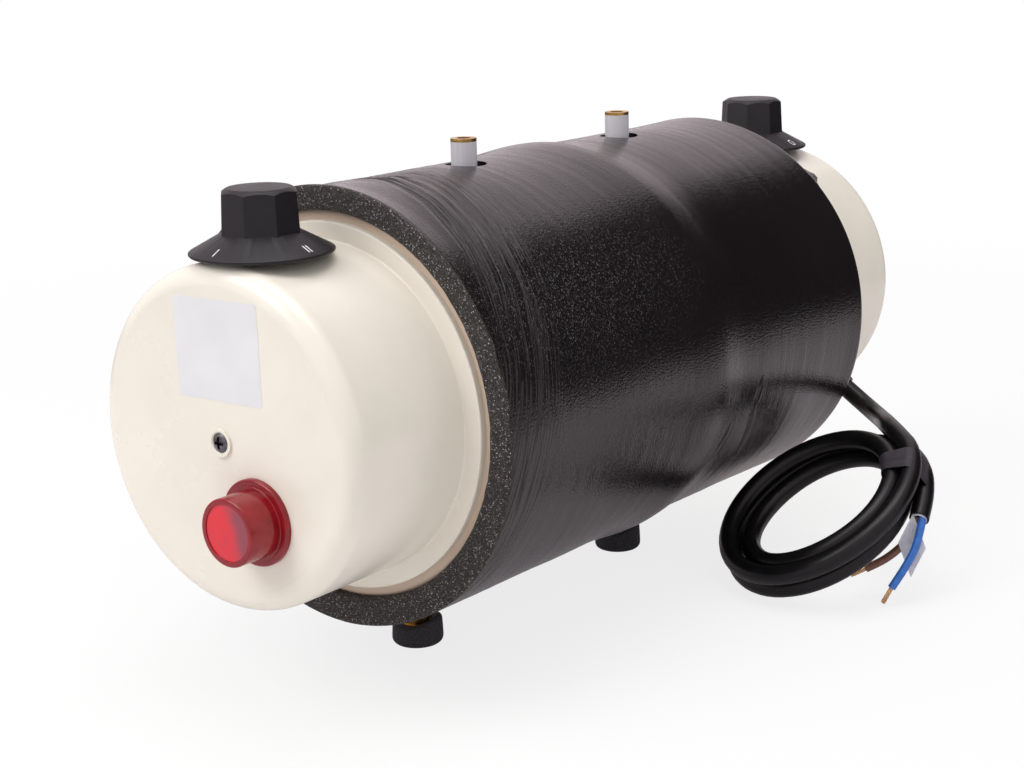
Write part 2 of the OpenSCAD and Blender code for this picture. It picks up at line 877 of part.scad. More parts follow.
// Controls: a body under the cap's wall with a threaded bush through it
module control_body() {
    difference() {
        union() {
            translate([-control_w / 2, -dial_y - control_w / 2, control_z])
                cube([control_w, control_w, control_h]);
            translate([0, -dial_y, pad_r - tiny])
                cylinder(d = bush_d, h = bush_top - pad_r);
            children();
        }
        translate([0, -dial_y, pad_r - bearing_depth])
            cylinder(d = spindle_d + 2 * run_fit, h = bush_top);
    }
}
module control_nut() {
    translate([0, -dial_y, spot_r])
        difference() {
            hex_bar(bush_nut_af, bush_nut_t);
            translate([0, 0, -1])
                cylinder(d = bush_d + 2 * run_fit, h = bush_nut_t + 2);
        }
}
module blades(count, pitch) {
    for (k = [0:count - 1])
        translate([(k - (count - 1) / 2) * pitch - 2.4, -dial_y - 0.4, control_z - 8])
            cube([4.8, 0.8, 8 + tiny]);
}
module front_switch() {
    color("whitesmoke")
        front_end()
            control_body() {
                blades(3, 9);
                translate([-control_w / 2 + 3, -dial_y - control_w / 2 + 3, control_z - 3])
                    cube([control_w - 6, control_w - 6, 3 + tiny]);
            }
}
module rear_thermostat() {
    color("silver")
        rear_end()
            control_body() {
                blades(2, 14);
                translate([0, control_w / 2 - dial_y - 9, control_z - 4])
                    cylinder(d = bellows_d, h = 4 + tiny);
            }
}
module front_switch_nut() {
    color("silver")
        front_end()
            control_nut();
}
module rear_thermostat_nut() {
    color("silver")
        rear_end()
            control_nut();
}

// Spindles with a flat, and the hollow dials that they carry
module spindle(extra = 0) {
    low = pad_r - bearing_depth + 0.5;
    top = dial_z + spindle_top + extra;
    flat_from = bush_top + 0.4;
    translate([0, -dial_y, 0])
        difference() {
            translate([0, 0, low])
                cylinder(d = spindle_d + 2 * extra, h = top - low);
            translate([-spindle_d, spindle_d / 2 - spindle_flat + extra, flat_from])
                cube([2 * spindle_d, spindle_d, top]);
        }
}
module grip() {
    grip_low = rim_h + 1;
    slope = (grip_foot_af - grip_top_af) / 2 / (dial_h - skirt_h);
    foot = grip_foot_af / 2 + slope * (skirt_h - grip_low);
    top = grip_top_af / 2;
    intersection_for (turn = [0:45:135])
        rotate([0, 0, turn])
            rotate([90, 0, 0])
                linear_extrude(2 * grip_foot_af, center = true)
                    polygon([[-foot, grip_low], [foot, grip_low], [top, dial_h], [-top, dial_h]]);
}
module dial_outside() {
    corner = grip_foot_af / 2 / cos(22.5);
    top_r = grip_top_af / 2 - 0.9;
    bevel_r = grip_top_af / 2 / cos(22.5) + 0.3;
    rotate_extrude()
        polygon([
            [0, 0], [skirt_d / 2 - 0.5, 0], [skirt_d / 2, 0.5], [skirt_d / 2, rim_h - 0.4],
            [skirt_d / 2 - 0.5, rim_h], [corner - 0.6, skirt_h], [0, skirt_h]
        ]);
    intersection() {
        grip();
        rotate_extrude()
            polygon([
                [0, 0], [skirt_d / 2, 0], [bevel_r, dial_h - grip_bevel], [top_r, dial_h - 0.3],
                [top_r - 0.6, dial_h], [0, dial_h]
            ]);
    }
}
module dial() {
    inner = grip_top_af / 2 - dial_wall;
    roof = dial_h - dial_wall - 0.6;
    translate([0, -dial_y, dial_z])
        difference() {
            dial_outside();
            difference() {
                rotate_extrude()
                    polygon([
                        [0, -1], [skirt_d / 2 - dial_wall, -1], [skirt_d / 2 - dial_wall, rim_h - 1.2],
                        [inner, skirt_h - dial_wall], [inner, roof], [0, roof]
                    ]);
                translate([0, 0, hub_z])
                    cylinder(d = hub_d, h = dial_h);
                for (turn = [0, 90])
                    rotate([0, 0, turn + 45])
                        translate([-inner - 1, -0.7, skirt_h])
                            cube([2 * inner + 2, 1.4, dial_h]);
            }
            translate([0, dial_y, -dial_z])
                spindle(run_fit);
        }
}
module front_spindle() {
    color("gray")
        front_end()
            spindle();
}
module rear_spindle() {
    color("gray")
        rear_end()
            spindle();
}
module front_dial() {
    color("darkslategray")
        front_end()
            dial();
}
module rear_dial() {
    color("darkslategray")
        rear_end()
            dial();
}

// Pilot lamp: a red cup with a flange, its holder and its nut
module lamp_place() {
    front_end()
        facing(lamp_px, -lamp_pz, end_y)
            children();
}
module lamp_lens() {
    color("crimson")
        lamp_place()
            difference() {
                rotate_extrude()
                    difference() {
                        union() {
                            square([lens_d / 2, lamp_out]);
                            square([lens_flange_d / 2, lens_flange_t]);
                            square([lens_d / 2 + 1.3, lens_flange_t + 0.8]);
                            translate([0, -cap_wall - lens_spigot])
                                square([lens_spigot_d / 2, cap_wall + lens_spigot + tiny]);
                        }
                        translate([lens_flange_d / 2 - 1, lens_flange_t - 1])
                            corner_waste(1);
                        translate([lens_d / 2 - 0.8, lamp_out - 0.8])
                            corner_waste(0.8);
                    }
                translate([0, 0, -cap_wall - lens_spigot - 1])
                    cylinder(d = lens_spigot_d - 2 * lens_wall, h = lens_depth + 1);
            }
}
module lamp_nut() {
    color("dimgray")
        lamp_place()
            translate([0, 0, -cap_wall - lamp_nut_t])
                difference() {
                    cylinder(d = lamp_nut_d, h = lamp_nut_t);
                    translate([0, 0, -1])
                        cylinder(d = lens_spigot_d + 2 * run_fit, h = lamp_nut_t + 2);
                    for (turn = [0:60:300])
                        rotate([0, 0, turn])
                            translate([lamp_nut_d / 2, 0, -1])
                                cylinder(d = 3, h = lamp_nut_t + 2);
                }
}
module lamp_holder() {
    fit_d = lens_spigot_d - 2 * lens_wall - 2 * hole_fit;
    stop = -cap_wall - lens_spigot;
    color("whitesmoke")
        lamp_place() {
            translate([0, 0, stop - tiny])
                cylinder(d = fit_d, h = holder_len - holder_step + tiny);
            translate([0, 0, stop - holder_step])
                cylinder(d = lens_spigot_d, h = holder_step - run_fit);
            translate([0, 0, stop - holder_step])
                cylinder(d = fit_d, h = holder_step);
            translate([0, 0, stop + holder_len - holder_step - tiny])
                cylinder(d = glow_d, h = glow_len);
            translate([0, 0, stop + holder_len - holder_step + glow_len - 2 * tiny])
                sphere(d = glow_d);
            for (s = [-1, 1])
                translate([s * 5 - 0.4, -2.4, stop - holder_step - tab_len])
                    cube([0.8, 4.8, tab_len + tiny]);
        }
}

// Thermal cut-out held on the rear end plate by a strap
module cutout_place() {
    rear_end()
        facing(cutout_x, cutout_z, seat_y)
            children();
}
module thermal_cutout() {
    color("saddlebrown")
        cutout_place() {
            cylinder(d = cutout_d, h = 2);
            translate([0, 0, 2 - tiny])
                cylinder(d = cutout_d - 3, h = cutout_h - 2);
            for (s = [-1, 1])
                translate([s * 4 - 0.4, -2.4, cutout_h - tiny])
                    cube([0.8, 4.8, 7]);
        }
}
module cutout_strap() {
    color("silver")
        cutout_place()
            difference() {
                union() {
                    translate([-strap_w / 2, -strap_pitch / 2 - 4, 0])
                        cube([strap_w, strap_pitch + 8, strap_t]);
                    translate([0, 0, 2.2])
                        cylinder(d = cutout_d, h = strap_t);
                    for (s = [-1, 1])
                        translate([-strap_w / 2, s * (cutout_d / 2 + 0.2) - (s > 0 ? 0 : strap_t), 0])
                            cube([strap_w, strap_t, 2.2 + strap_t]);
                    for (s = [-1, 1])
                        translate([-strap_w / 2, s > 0 ? 4 : -cutout_d / 2 - 0.2 - strap_t, 2.2])
                            cube([strap_w, cutout_d / 2 + 0.2 + strap_t - 4, strap_t]);
                }
                translate([0, 0, -1])
                    cylinder(d = cutout_d + 2 * hole_fit, h = 3.2);
                translate([0, 0, 2])
                    cylinder(d = cutout_d - 3 + 2 * hole_fit, h = 4);
                for (s = [-1, 1])
                    translate([0, s * strap_pitch / 2, -1])
                        cylinder(d = 3, h = 4);
            }
}
module cutout_screws() {
    color("silver")
        cutout_place()
            for (s = [-1, 1])
                translate([0, s * strap_pitch / 2, 0]) {
                    translate([0, 0, -3])
                        cylinder(d = 2.4, h = 3 + strap_t + tiny);
                    translate([0, 0, strap_t])
                        cylinder(d = 5, h = 1.8);
                }
}

// Terminal block on the rear end plate, with its clamp screws
module block_place() {
    rear_end()
        facing(0, block_z, seat_y)
            children();
}
module terminal_block() {
    color("whitesmoke")
        block_place()
            difference() {
                translate([-block_w / 2, -block_h / 2, 0])
                    cube([block_w, block_h, block_t]);
                for (k = [0:block_poles - 1])
                    translate([(k - (block_poles - 1) / 2) * block_pitch, 0, 0]) {
                        translate([0, 0, block_t / 2])
                            rotate([90, 0, 0])
                                cylinder(d = 4.2, h = block_h + 2, center = true);
                        for (s = [-1, 1])
                            translate([0, s * 3.4, block_t / 2])
                                cylinder(d = 3.8, h = block_t);
                    }
            }
}
module terminal_screws() {
    color("silver")
        block_place()
            for (k = [0:block_poles - 1])
                for (s = [-1, 1])
                    translate([(k - (block_poles - 1) / 2) * block_pitch, s * 3.4, block_t / 2 + 2.3])
                        cylinder(d = 3.8 - 2 * hole_fit, h = block_t / 2 - 4);
}

// Flex grommet in the rear cap's wall, with the nut behind it
module gland_axis() {
    translate([0, -gland_y, 0])
        rotate([0, -gland_angle, 0])
            children();
}
module flex_grommet() {
    color("dimgray")
        rear_end()
            gland_axis()
                difference() {
                    union() {
                        translate([0, 0, spot_r])
                            cylinder(d = grommet_flange_d, h = grommet_flange_t);
                        translate([0, 0, spot_r + grommet_flange_t - tiny])
                            cylinder(d1 = grommet_d, d2 = grommet_tip_d, h = gland_nose + tiny);
                        translate([0, 0, pad_r - grommet_len])
                            cylinder(d = grommet_d, h = spot_r - pad_r + grommet_len + tiny);
                    }
                    translate([0, 0, pad_r - grommet_len - 1])
                        cylinder(d = flex_d - 3, h = grommet_len + 6);
                }
}
module grommet_nut() {
    color("gray")
        rear_end()
            gland_axis()
                translate([0, 0, pad_r - grommet_nut_t])
                    difference() {
                        hex_bar(grommet_nut_af, grommet_nut_t);
                        translate([0, 0, -1])
                            cylinder(d = grommet_d + 2 * run_fit, h = grommet_nut_t + 2);
                    }
}

// Mains flex: the lead from the grommet, the leaning coil, the tail and its two cores
module flex_lead() {
    color("dimgray")
        tube(curve(lead_route, 2), flex_d, 10, [0, 0, 1], gland_dir, coil_way);
}
module flex_coil() {
    color("dimgray")
        tube(coil_path, flex_d, 6, coil_n, coil_way, coil_way);
}
module flex_tail() {
    color("dimgray")
        tube(curve(tail_route, 2), flex_d, 10, [0, 1, 0], coil_way, tail_dir);
}
// A core ends one point before its route does, and its bare strands run on from there to the route's end
module core(route) {
    last = len(route) - 2;
    path = [for (i = [0:last]) route[i]];
    tube(curve(path, 3), core_d, 8, [0, 1, 0], tail_dir, unit(route[last + 1] - route[last]));
}
module strands(route) {
    tip = route[len(route) - 1];
    from = route[len(route) - 2];
    tube([from, tip], strand_d, 8, [0, 1, 0], unit(tip - from), unit(tip - from));
}
module blue_core() {
    color("royalblue")
        core(blue_route);
}
module brown_core() {
    color("sienna")
        core(brown_route);
}
module blue_strands() {
    color("peru")
        strands(blue_route);
}
module brown_strands() {
    color("peru")
        strands(brown_route);
}

// Tape round the coil's turns where the flex leaves it
module coil_tape() {
    tape_w = 11;
    tape_t = 0.6;
    slack = 0.6;
    reach = norm(coil_at(0, coil_mid) - coil_mid - coil_step / 2 * coil_n);
    inner = reach - coil_step - flex_d / 2 - slack;
    outer = reach + flex_d / 2 + slack;
    half = coil_step / 2 + flex_d / 2 + slack;
    out = coil_side;
    along = cross(coil_n, out);
    color("black")
        multmatrix([
            [out[0], along[0], coil_n[0], coil_mid[0]],
            [out[1], along[1], coil_n[1], coil_mid[1]],
            [out[2], along[2], coil_n[2], coil_mid[2]]
        ])
            difference() {
                translate([inner - tape_t, -tape_w / 2, -half - tape_t])
                    cube([outer - inner + 2 * tape_t, tape_w, 2 * half + 2 * tape_t]);
                translate([inner, -tape_w, -half])
                    cube([outer - inner, 2 * tape_w, 2 * half]);
            }
}

// Feet: foam rubber, dished for the washer of the brass pillar that carries the fixing thread
module foot() {
    rotate_extrude()
        difference() {
            square([foot_d / 2, foot_h]);
            translate([foot_d / 2 - foot_edge, foot_edge])
                mirror([0, 1])
                    corner_waste(foot_edge);
            translate([foot_d / 2 - foot_rim, foot_h - foot_rim])
                corner_waste(foot_rim);
            translate([0, foot_seat])
                square([foot_washer_d / 2 + 2 * hole_fit, foot_h]);
            translate([0, foot_sole])
                square([foot_spigot_d / 2 + hole_fit, foot_h]);
            translate([0, -1])
                square([fixing_d / 2 + 0.8, foot_h]);
        }
}
module foot_pillar() {
    washer_top = foot_seat + foot_washer_t;
    difference() {
        union() {
            translate([0, 0, foot_sole])
                cylinder(d = foot_spigot_d, h = foot_seat - foot_sole + tiny);
            translate([0, 0, foot_seat])
                cylinder(d = foot_washer_d, h = foot_washer_t + tiny);
            translate([0, 0, washer_top])
                hex_bar(foot_pillar_af, pad_level - washer_top);
            translate([0, 0, pad_level - tiny])
                cylinder(d = foot_stud_d, h = foot_stud);
        }
        translate([0, 0, foot_sole - 1])
            cylinder(d = fixing_d, h = fixing_depth + 1);
    }
}
module foot_place(side) {
    translate([0, mid_y + foot_shift + side * foot_pitch / 2, 0])
        children();
}
module front_foot() {
    color("dimgray")
        foot_place(-1)
            foot();
}
module rear_foot() {
    color("dimgray")
        foot_place(1)
            foot();
}
module front_foot_pillar() {
    color("goldenrod")
        foot_place(-1)
            foot_pillar();
}
module rear_foot_pillar() {
    color("goldenrod")
        foot_place(1)
            foot_pillar();
}

tank_front();
tank_rear();
inlet_pipe();
outlet_pipe();
inlet_sleeve();
outlet_sleeve();
left_heater();
right_heater();
left_heater_plug();
right_heater_plug();
left_heater_seal();
right_heater_seal();
thermowell();
thermostat_bulb();
capillary();
foam_jacket();
front_cap();
rear_cap();
front_cap_screw();
rear_cap_screw();
front_pillar();
rear_pillar();
front_switch();
front_switch_nut();
front_spindle();
front_dial();
rear_thermostat();
rear_thermostat_nut();
rear_spindle();
rear_dial();
lamp_lens();
lamp_holder();
lamp_nut();
thermal_cutout();
cutout_strap();
cutout_screws();
terminal_block();
terminal_screws();
flex_grommet();
grommet_nut();
flex_lead();
flex_coil();
flex_tail();
coil_tape();
blue_core();
brown_core();
blue_strands();
brown_strands();
front_foot();
rear_foot();
front_foot_pillar();
rear_foot_pillar();
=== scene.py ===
"""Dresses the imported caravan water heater: foam jacket, dials, flex, lamp, feet and finishes."""
import json
from functools import partial
from math import atan2, cos, exp, hypot, pi, radians, sin

import bmesh
import bpy
from bpy.props import FloatProperty, FloatVectorProperty, PointerProperty
from mathutils import Matrix, Vector, noise


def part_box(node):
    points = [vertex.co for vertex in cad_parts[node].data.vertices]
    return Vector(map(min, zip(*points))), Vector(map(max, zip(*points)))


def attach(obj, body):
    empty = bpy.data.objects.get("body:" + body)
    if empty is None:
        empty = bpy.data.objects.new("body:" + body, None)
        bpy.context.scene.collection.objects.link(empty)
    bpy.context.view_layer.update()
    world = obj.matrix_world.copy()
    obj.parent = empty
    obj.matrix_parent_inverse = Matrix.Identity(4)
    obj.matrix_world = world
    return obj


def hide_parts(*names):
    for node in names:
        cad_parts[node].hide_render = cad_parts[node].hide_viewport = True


bl_info = {
    "name": "Caravan water heater",
    "version": (1, 0, 0),
    "blender": (4, 5, 0),
    "location": "View3D > Sidebar > Heater",
    "description": "Models the soft and small pieces of a caravan water heater on its packed frame",
    "category": "Object",
}

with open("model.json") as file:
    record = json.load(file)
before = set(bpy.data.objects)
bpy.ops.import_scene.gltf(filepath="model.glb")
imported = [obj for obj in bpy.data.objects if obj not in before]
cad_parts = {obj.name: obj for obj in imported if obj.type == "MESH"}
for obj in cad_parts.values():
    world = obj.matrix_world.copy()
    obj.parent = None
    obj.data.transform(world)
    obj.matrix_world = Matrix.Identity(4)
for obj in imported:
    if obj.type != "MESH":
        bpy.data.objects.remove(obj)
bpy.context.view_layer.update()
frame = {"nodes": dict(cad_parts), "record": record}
MM = 0.001

# The boiler's axis and ends, read from the frame in metres
TANK_LOW, TANK_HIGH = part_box("tank_front")[0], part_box("tank_rear")[1]
AXIS_Y = (TANK_LOW[1] + TANK_HIGH[1]) / 2
AXIS_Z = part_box("front_cap")[0][2] / 2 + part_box("front_cap")[1][2] / 2
# the film's radius and front edge, and how far its creases lean forward for each step round the tube
JACKET_R, JACKET_FRONT, CREASE_LEAN = 0.0807, AXIS_Y - 0.1297, 0.27
FRONT_FACE_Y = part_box("front_cap")[0][1] + 0.9 * MM


def srgb(code):
    """Linear colour of an sRGB hex value"""
    parts = [int(code[i:i + 2], 16) / 255 for i in (1, 3, 5)]
    return [c / 12.92 if c <= 0.04045 else ((c + 0.055) / 1.055) ** 2.4 for c in parts] + [1.0]


def colour_prop(name, description, code):
    return FloatVectorProperty(
        name=name, description=description, subtype="COLOR", size=4, min=0, max=1, default=srgb(code))


def length_prop(name, description, millimetres):
    return FloatProperty(
        name=name, description=description, subtype="DISTANCE", unit="LENGTH", default=millimetres * MM)


class HeaterSizes(bpy.types.PropertyGroup):
    """Sizes of the pieces that are modelled here"""
    flex_d: length_prop("Flex diameter", "Diameter of the mains flex", 8.1)
    core_d: length_prop("Core diameter", "Diameter of a core's insulation", 3.3)
    wrinkle: length_prop("Groove depth", "Depth of the jacket's fine grooves", 0.3)
    label_w: length_prop("Plate width", "Width of the blank plate on the front cap", 39.6)
    label_h: length_prop("Plate height", "Height of the blank plate on the front cap", 35)
    dial_round: length_prop("Dial rounding", "Radius of the dials' moulded edges", 0.45)


class HeaterColours(bpy.types.PropertyGroup):
    """Colours of the finishes"""
    cream: colour_prop("Cap cream", "Moulded end caps", "#EDE5D9")
    tank: colour_prop("Tank beige", "Tank's end between cap and jacket", "#D0BAA7")
    skin: colour_prop("Jacket skin", "Film on the foam jacket", "#1B1718")
    foam: colour_prop("Cut foam", "Cut ends of the foam jacket", "#403A37")
    dial: colour_prop("Dial black", "Moulded dials", "#1B191D")
    lens: colour_prop("Lens red", "Pilot lamp's lens", "#D62532")
    flex: colour_prop("Flex black", "Sheath of the mains flex", "#0F0F11")
    blue: colour_prop("Core blue", "Neutral core", "#2E6CC0")
    brown: colour_prop("Core brown", "Live core", "#7E5546")


# Shader tools
def add(tree, kind, sockets=None, **settings):
    """Adds a node with its settings, and fills or links its sockets; a node stands for its first output"""
    n = tree.nodes.new("ShaderNode" + kind)
    for key, value in settings.items():
        if key == "ramp":
            stops = n.color_ramp.elements
            while len(stops) < len(value):
                stops.new(0.5)
            for stop, (place, shade) in zip(stops, value):
                stop.position = place
                stop.color = shade if isinstance(shade, (list, tuple)) else (shade, shade, shade, 1)
        else:
            setattr(n, key, value)
    for key, value in (sockets or {}).items():
        if isinstance(value, bpy.types.Node):
            value = value.outputs[0]
        if isinstance(value, bpy.types.NodeSocket):
            tree.links.new(value, n.inputs[key])
        else:
            n.inputs[key].default_value = value
    return n


def new_finish(name):
    """An empty material, the function that adds its nodes, and its Object coordinates"""
    material = bpy.data.materials.new(name)
    material.use_nodes = True
    material.node_tree.nodes.clear()
    put = partial(add, material.node_tree)
    return material, put, put("TexCoord").outputs["Object"]


def coat(material, pattern, stops, surface, relief=None):
    """Ends a finish: colours over a pattern, surface values, and a relief's height, strength and distance"""
    put = partial(add, material.node_tree)
    surface = {"Base Color": put("ValToRGB", {"Fac": pattern}, ramp=stops), **surface}
    if relief:
        surface["Normal"] = put("Bump", dict(zip(("Height", "Strength", "Distance"), relief)))
    put("OutputMaterial", {"Surface": put("BsdfPrincipled", surface)})
    return material


def tint(colour, factor):
    return [min(1, c * factor) for c in colour[:3]] + [1]


def colours():
    return bpy.context.scene.heater_colours


def sizes():
    return bpy.context.scene.heater_sizes


def moulded_abs(name, colour, rough=0.24, mottle=0.06):
    """Injection-moulded plastic: even colour, faint flow marks and orange peel under a satin gloss"""
    material, put, place = new_finish(name)
    flow = put("TexNoise", {"Vector": place, "Scale": 28, "Detail": 4, "Roughness": 0.55})
    grime = put("TexNoise", {"Vector": place, "Scale": 9, "Detail": 6, "Roughness": 0.65})
    worn = put("ValToRGB", {"Fac": grime}, ramp=[(0.3, rough + 0.1), (0.7, rough - 0.05)])
    # orange peel about 0.8 mm across
    peel = put("TexNoise", {"Vector": place, "Scale": 1250, "Detail": 2})
    return coat(material, flow, [(0.25, tint(colour, 1 - mottle)), (0.75, tint(colour, 1 + mottle * 0.4))],
                {"Roughness": worn, "IOR": 1.5}, (peel, 0.035, 0.0004))


def tank_polyethylene(colour):
    """Moulded polyethylene: waxy, faintly clouded and ringed, duller than the caps"""
    material, put, place = new_finish("waxy_polyethylene")
    cloud = put("TexNoise", {"Vector": place, "Scale": 40, "Detail": 5})
    rings = put("TexWave", {"Vector": place, "Scale": 330, "Distortion": 1.5, "Detail": 2},
                wave_type="RINGS", rings_direction="Y")
    return coat(material, cloud, [(0.3, tint(colour, 0.94)), (0.7, tint(colour, 1.06))],
                {"Roughness": 0.5, "IOR": 1.5}, (rings.outputs["Fac"], 0.08, 0.0003))


def spout_pipe():
    """Extruded white polyamide pipe: milky, with faint drawing lines along it, about 1.1 mm apart"""
    material, put, place = new_finish("milky_polyamide")
    lines = put("Mapping", {"Vector": place, "Scale": (900, 900, 30)})
    drawn = put("TexNoise", {"Vector": lines, "Scale": 1, "Detail": 2})
    return coat(material, drawn, [(0.3, srgb("#D0CBD1")), (0.7, srgb("#D9D5DB"))],
                {"Roughness": 0.36, "IOR": 1.53, "Subsurface Weight": 0.2,
                 "Subsurface Radius": (0.003, 0.003, 0.003)}, (drawn, 0.04, 0.0002))


def metal(name, colour, dull, rough, line_scale):
    """Turned or drawn metal: fine tool lines and tarnish in soft patches"""
    material, put, place = new_finish(name)
    patch = put("TexNoise", {"Vector": place, "Scale": 190, "Detail": 5, "Roughness": 0.6})
    lines = put("Mapping", {"Vector": place, "Scale": line_scale})
    turned = put("TexNoise", {"Vector": lines, "Scale": 1, "Detail": 3})
    gloss = put("ValToRGB", {"Fac": turned}, ramp=[(0.2, rough + 0.12), (0.8, rough - 0.08)])
    return coat(material, patch, [(0.35, dull), (0.65, colour)],
                {"Metallic": 1.0, "Roughness": gloss}, (turned, 0.12, 0.0002))


def film_creases(put, place):
    """Depth of the fine creases behind the film's front edge, which run round the tube and lean forward"""
    at = put("SeparateXYZ", {"Vector": place}).outputs
    rise = put("Math", {0: at["Z"], 1: AXIS_Z}, operation="SUBTRACT")
    angle = put("Math", {0: at["X"], 1: rise}, operation="ARCTAN2")
    turn = put("Math", {0: angle}, operation="ABSOLUTE")
    lean = put("Math", {0: turn, 1: CREASE_LEAN * JACKET_R, 2: at["Y"]}, operation="MULTIPLY_ADD")
    # they sway by up to 5 mm
    sway = put("TexNoise", {"Vector": place, "Scale": 26, "Detail": 1})
    sway = put("Math", {0: sway, 1: 0.005, 2: lean}, operation="MULTIPLY_ADD")
    back = put("Math", {0: sway, 1: JACKET_FRONT + 0.0025}, operation="SUBTRACT")
    # lines about 2 mm apart and some 60 mm long
    flat = put("CombineXYZ", {0: back, 1: turn})
    spread = put("Mapping", {"Vector": flat, "Scale": (520, 1.3, 1)})
    field = put("TexNoise", {"Vector": spread, "Scale": 1, "Detail": 1})
    off = put("Math", {0: field, 1: 0.5}, operation="SUBTRACT")
    off = put("Math", {0: off}, operation="ABSOLUTE")
    line = put("MapRange", {0: off, 1: 0.0, 2: 0.05, 3: 1, 4: 0})
    # between 27 and 68 mm behind the edge, in tenths of a metre
    reach = put("Math", {0: back, 1: 10}, operation="MULTIPLY")
    zone = put("ValToRGB", {"Fac": reach}, ramp=[(0.27, 0), (0.3, 1), (0.4, 0.7), (0.68, 0)])
    return put("Math", {0: line, 1: zone}, operation="MULTIPLY")


def jacket_skin(colour):
    """Smooth film on polyethylene foam: near black, glossy, pebbled, with fine lines round the tube"""
    material, put, place = new_finish("foam_skin_film")
    # lines run round the axis, about 1.1 mm apart along it and 25 mm long
    along = put("Mapping", {"Vector": place, "Scale": (40, 900, 40)})
    line = put("TexNoise", {"Vector": along, "Scale": 1, "Detail": 3, "Roughness": 0.6})
    # pebbles about 0.8 mm across
    pebble = put("TexNoise", {"Vector": place, "Scale": 1250, "Detail": 2})
    height = put("Math", {0: line, 1: 0.6, 2: pebble}, operation="MULTIPLY_ADD")
    bump = put("Bump", {"Height": height, "Strength": 0.8, "Distance": 0.0002})
    crease = film_creases(put, place)
    creased = put("Bump", {"Height": crease, "Strength": 1.0, "Distance": 0.0004, "Normal": bump},
                  invert=True)
    cloud = put("TexNoise", {"Vector": place, "Scale": 22, "Detail": 5, "Roughness": 0.6})
    shade = put("ValToRGB", {"Fac": cloud}, ramp=[(0.3, tint(colour, 0.7)), (0.72, tint(colour, 1.15))])
    # painted glints: pale flecks 0.2 to 0.4 mm across on the front half's upper right, where a lamp's
    # reflection would sparkle on the pebbled film, longer round the tube
    dots = put("Mapping", {"Vector": place, "Scale": (2400, 4600, 2400)})
    pores = put("TexVoronoi", {"Vector": dots, "Scale": 1}, feature="F1")
    chance = put("SeparateColor", {"Color": pores.outputs["Color"]})
    pale = put("ValToRGB", {"Fac": chance}, ramp=[(0.72, 0.0), (0.93, 0.05), (1.0, 0.3)])
    # the painted glints gather in a soft spot on the front half's upper right
    spot = put("Mapping", {"Vector": place, "Location": (-1.58, 0.80, -3.41), "Scale": (23.5, 10.5, 23.5)})
    zone = put("TexGradient", {"Vector": spot}, gradient_type="SPHERICAL")
    painted_glint_mask = put("Math", {0: pale, 1: zone.outputs["Fac"]}, operation="MULTIPLY")
    # painted highlight: the glints' pale colour is mixed into the film's colour
    colour_with_painted_glints = put("Mix", {0: painted_glint_mask, 6: shade, 7: srgb("#F2EEF4")}, data_type="RGBA")
    gloss = put("ValToRGB", {"Fac": cloud}, ramp=[(0.3, 0.18), (0.7, 0.12)])
    # the film is duller in the bottom of a crease
    dull = put("Math", {0: crease, 1: 0.85, 2: gloss}, operation="MULTIPLY_ADD")
    put("OutputMaterial", {"Surface": put("BsdfPrincipled", {
        "Base Color": colour_with_painted_glints.outputs[2], "Roughness": dull, "IOR": 1.5, "Normal": creased})})
    return material


def foam_cut(colour):
    """Cut closed-cell foam: open cells about 0.35 mm across, dark or grey by chance, few with a painted glint
    """
    material, put, place = new_finish("cut_cell_foam")
    cells = put("TexVoronoi", {"Vector": place, "Scale": 3000}, feature="F1")
    chance = put("SeparateColor", {"Color": cells.outputs["Color"]})
    ragged = put("TexNoise", {"Vector": place, "Scale": 600, "Detail": 4})
    height = put("Math", {0: cells, 1: ragged}, operation="ADD")
    # the top stops, 2.6 times the colour and #C4C0BF, are painted glints
    shades = [(0.0, tint(colour, 0.08)), (0.5, tint(colour, 0.5)), (0.8, tint(colour, 1.3)),
              (0.95, tint(colour, 2.6)), (0.985, srgb("#C4C0BF"))]
    return coat(material, chance, shades, {"Roughness": 0.7}, (height, 0.9, 0.0006))


def dial_moulding(colour):
    """Black phenolic moulding: matt, spark-eroded grain 0.4 mm across, greyer where fingers have rubbed it"""
    material, put, place = new_finish("spark_grained_moulding")
    rub = put("TexNoise", {"Vector": place, "Scale": 110, "Detail": 6, "Roughness": 0.65})
    gloss = put("ValToRGB", {"Fac": rub}, ramp=[(0.3, 0.5), (0.75, 0.4)])
    grain = put("TexNoise", {"Vector": place, "Scale": 2600, "Detail": 2})
    return coat(material, rub, [(0.3, tint(colour, 0.82)), (0.75, tint(colour, 1.35))],
                {"Roughness": gloss, "Specular IOR Level": 0.32}, (grain, 0.25, 0.0002))


def printed_white():
    """Pad-printed white ink: thin, with slightly thinner patches 0.7 mm across"""
    material, put, place = new_finish("pad_printed_ink")
    patch = put("TexNoise", {"Vector": place, "Scale": 1500, "Detail": 3})
    return coat(material, patch, [(0.3, srgb("#C9C8C8")), (0.6, srgb("#F4F3F2"))], {"Roughness": 0.55})


def blank_film():
    """White polyester label stock: even, faintly clouded, satin"""
    material, put, place = new_finish("white_polyester_film")
    cloud = put("TexNoise", {"Vector": place, "Scale": 60, "Detail": 2})
    return coat(material, cloud, [(0.3, srgb("#DEDCDF")), (0.7, srgb("#E4E2E5"))],
                {"Roughness": 0.42}, (cloud, 0.02, 0.0003))


def red_acrylic(name, colour):
    """Clear red acrylic moulding: glossy, deep red where it is thick, with scuffs about 1 mm across"""
    material, put, place = new_finish(name)
    swirl = put("TexNoise", {"Vector": place, "Scale": 160, "Detail": 3})
    scuff = put("TexNoise", {"Vector": place, "Scale": 900, "Detail": 3})
    return coat(material, swirl, [(0.3, tint(colour, 0.85)), (0.7, tint(colour, 1.2))],
                {"Roughness": 0.12, "IOR": 1.49, "Transmission Weight": 0.15}, (scuff, 0.03, 0.0002))


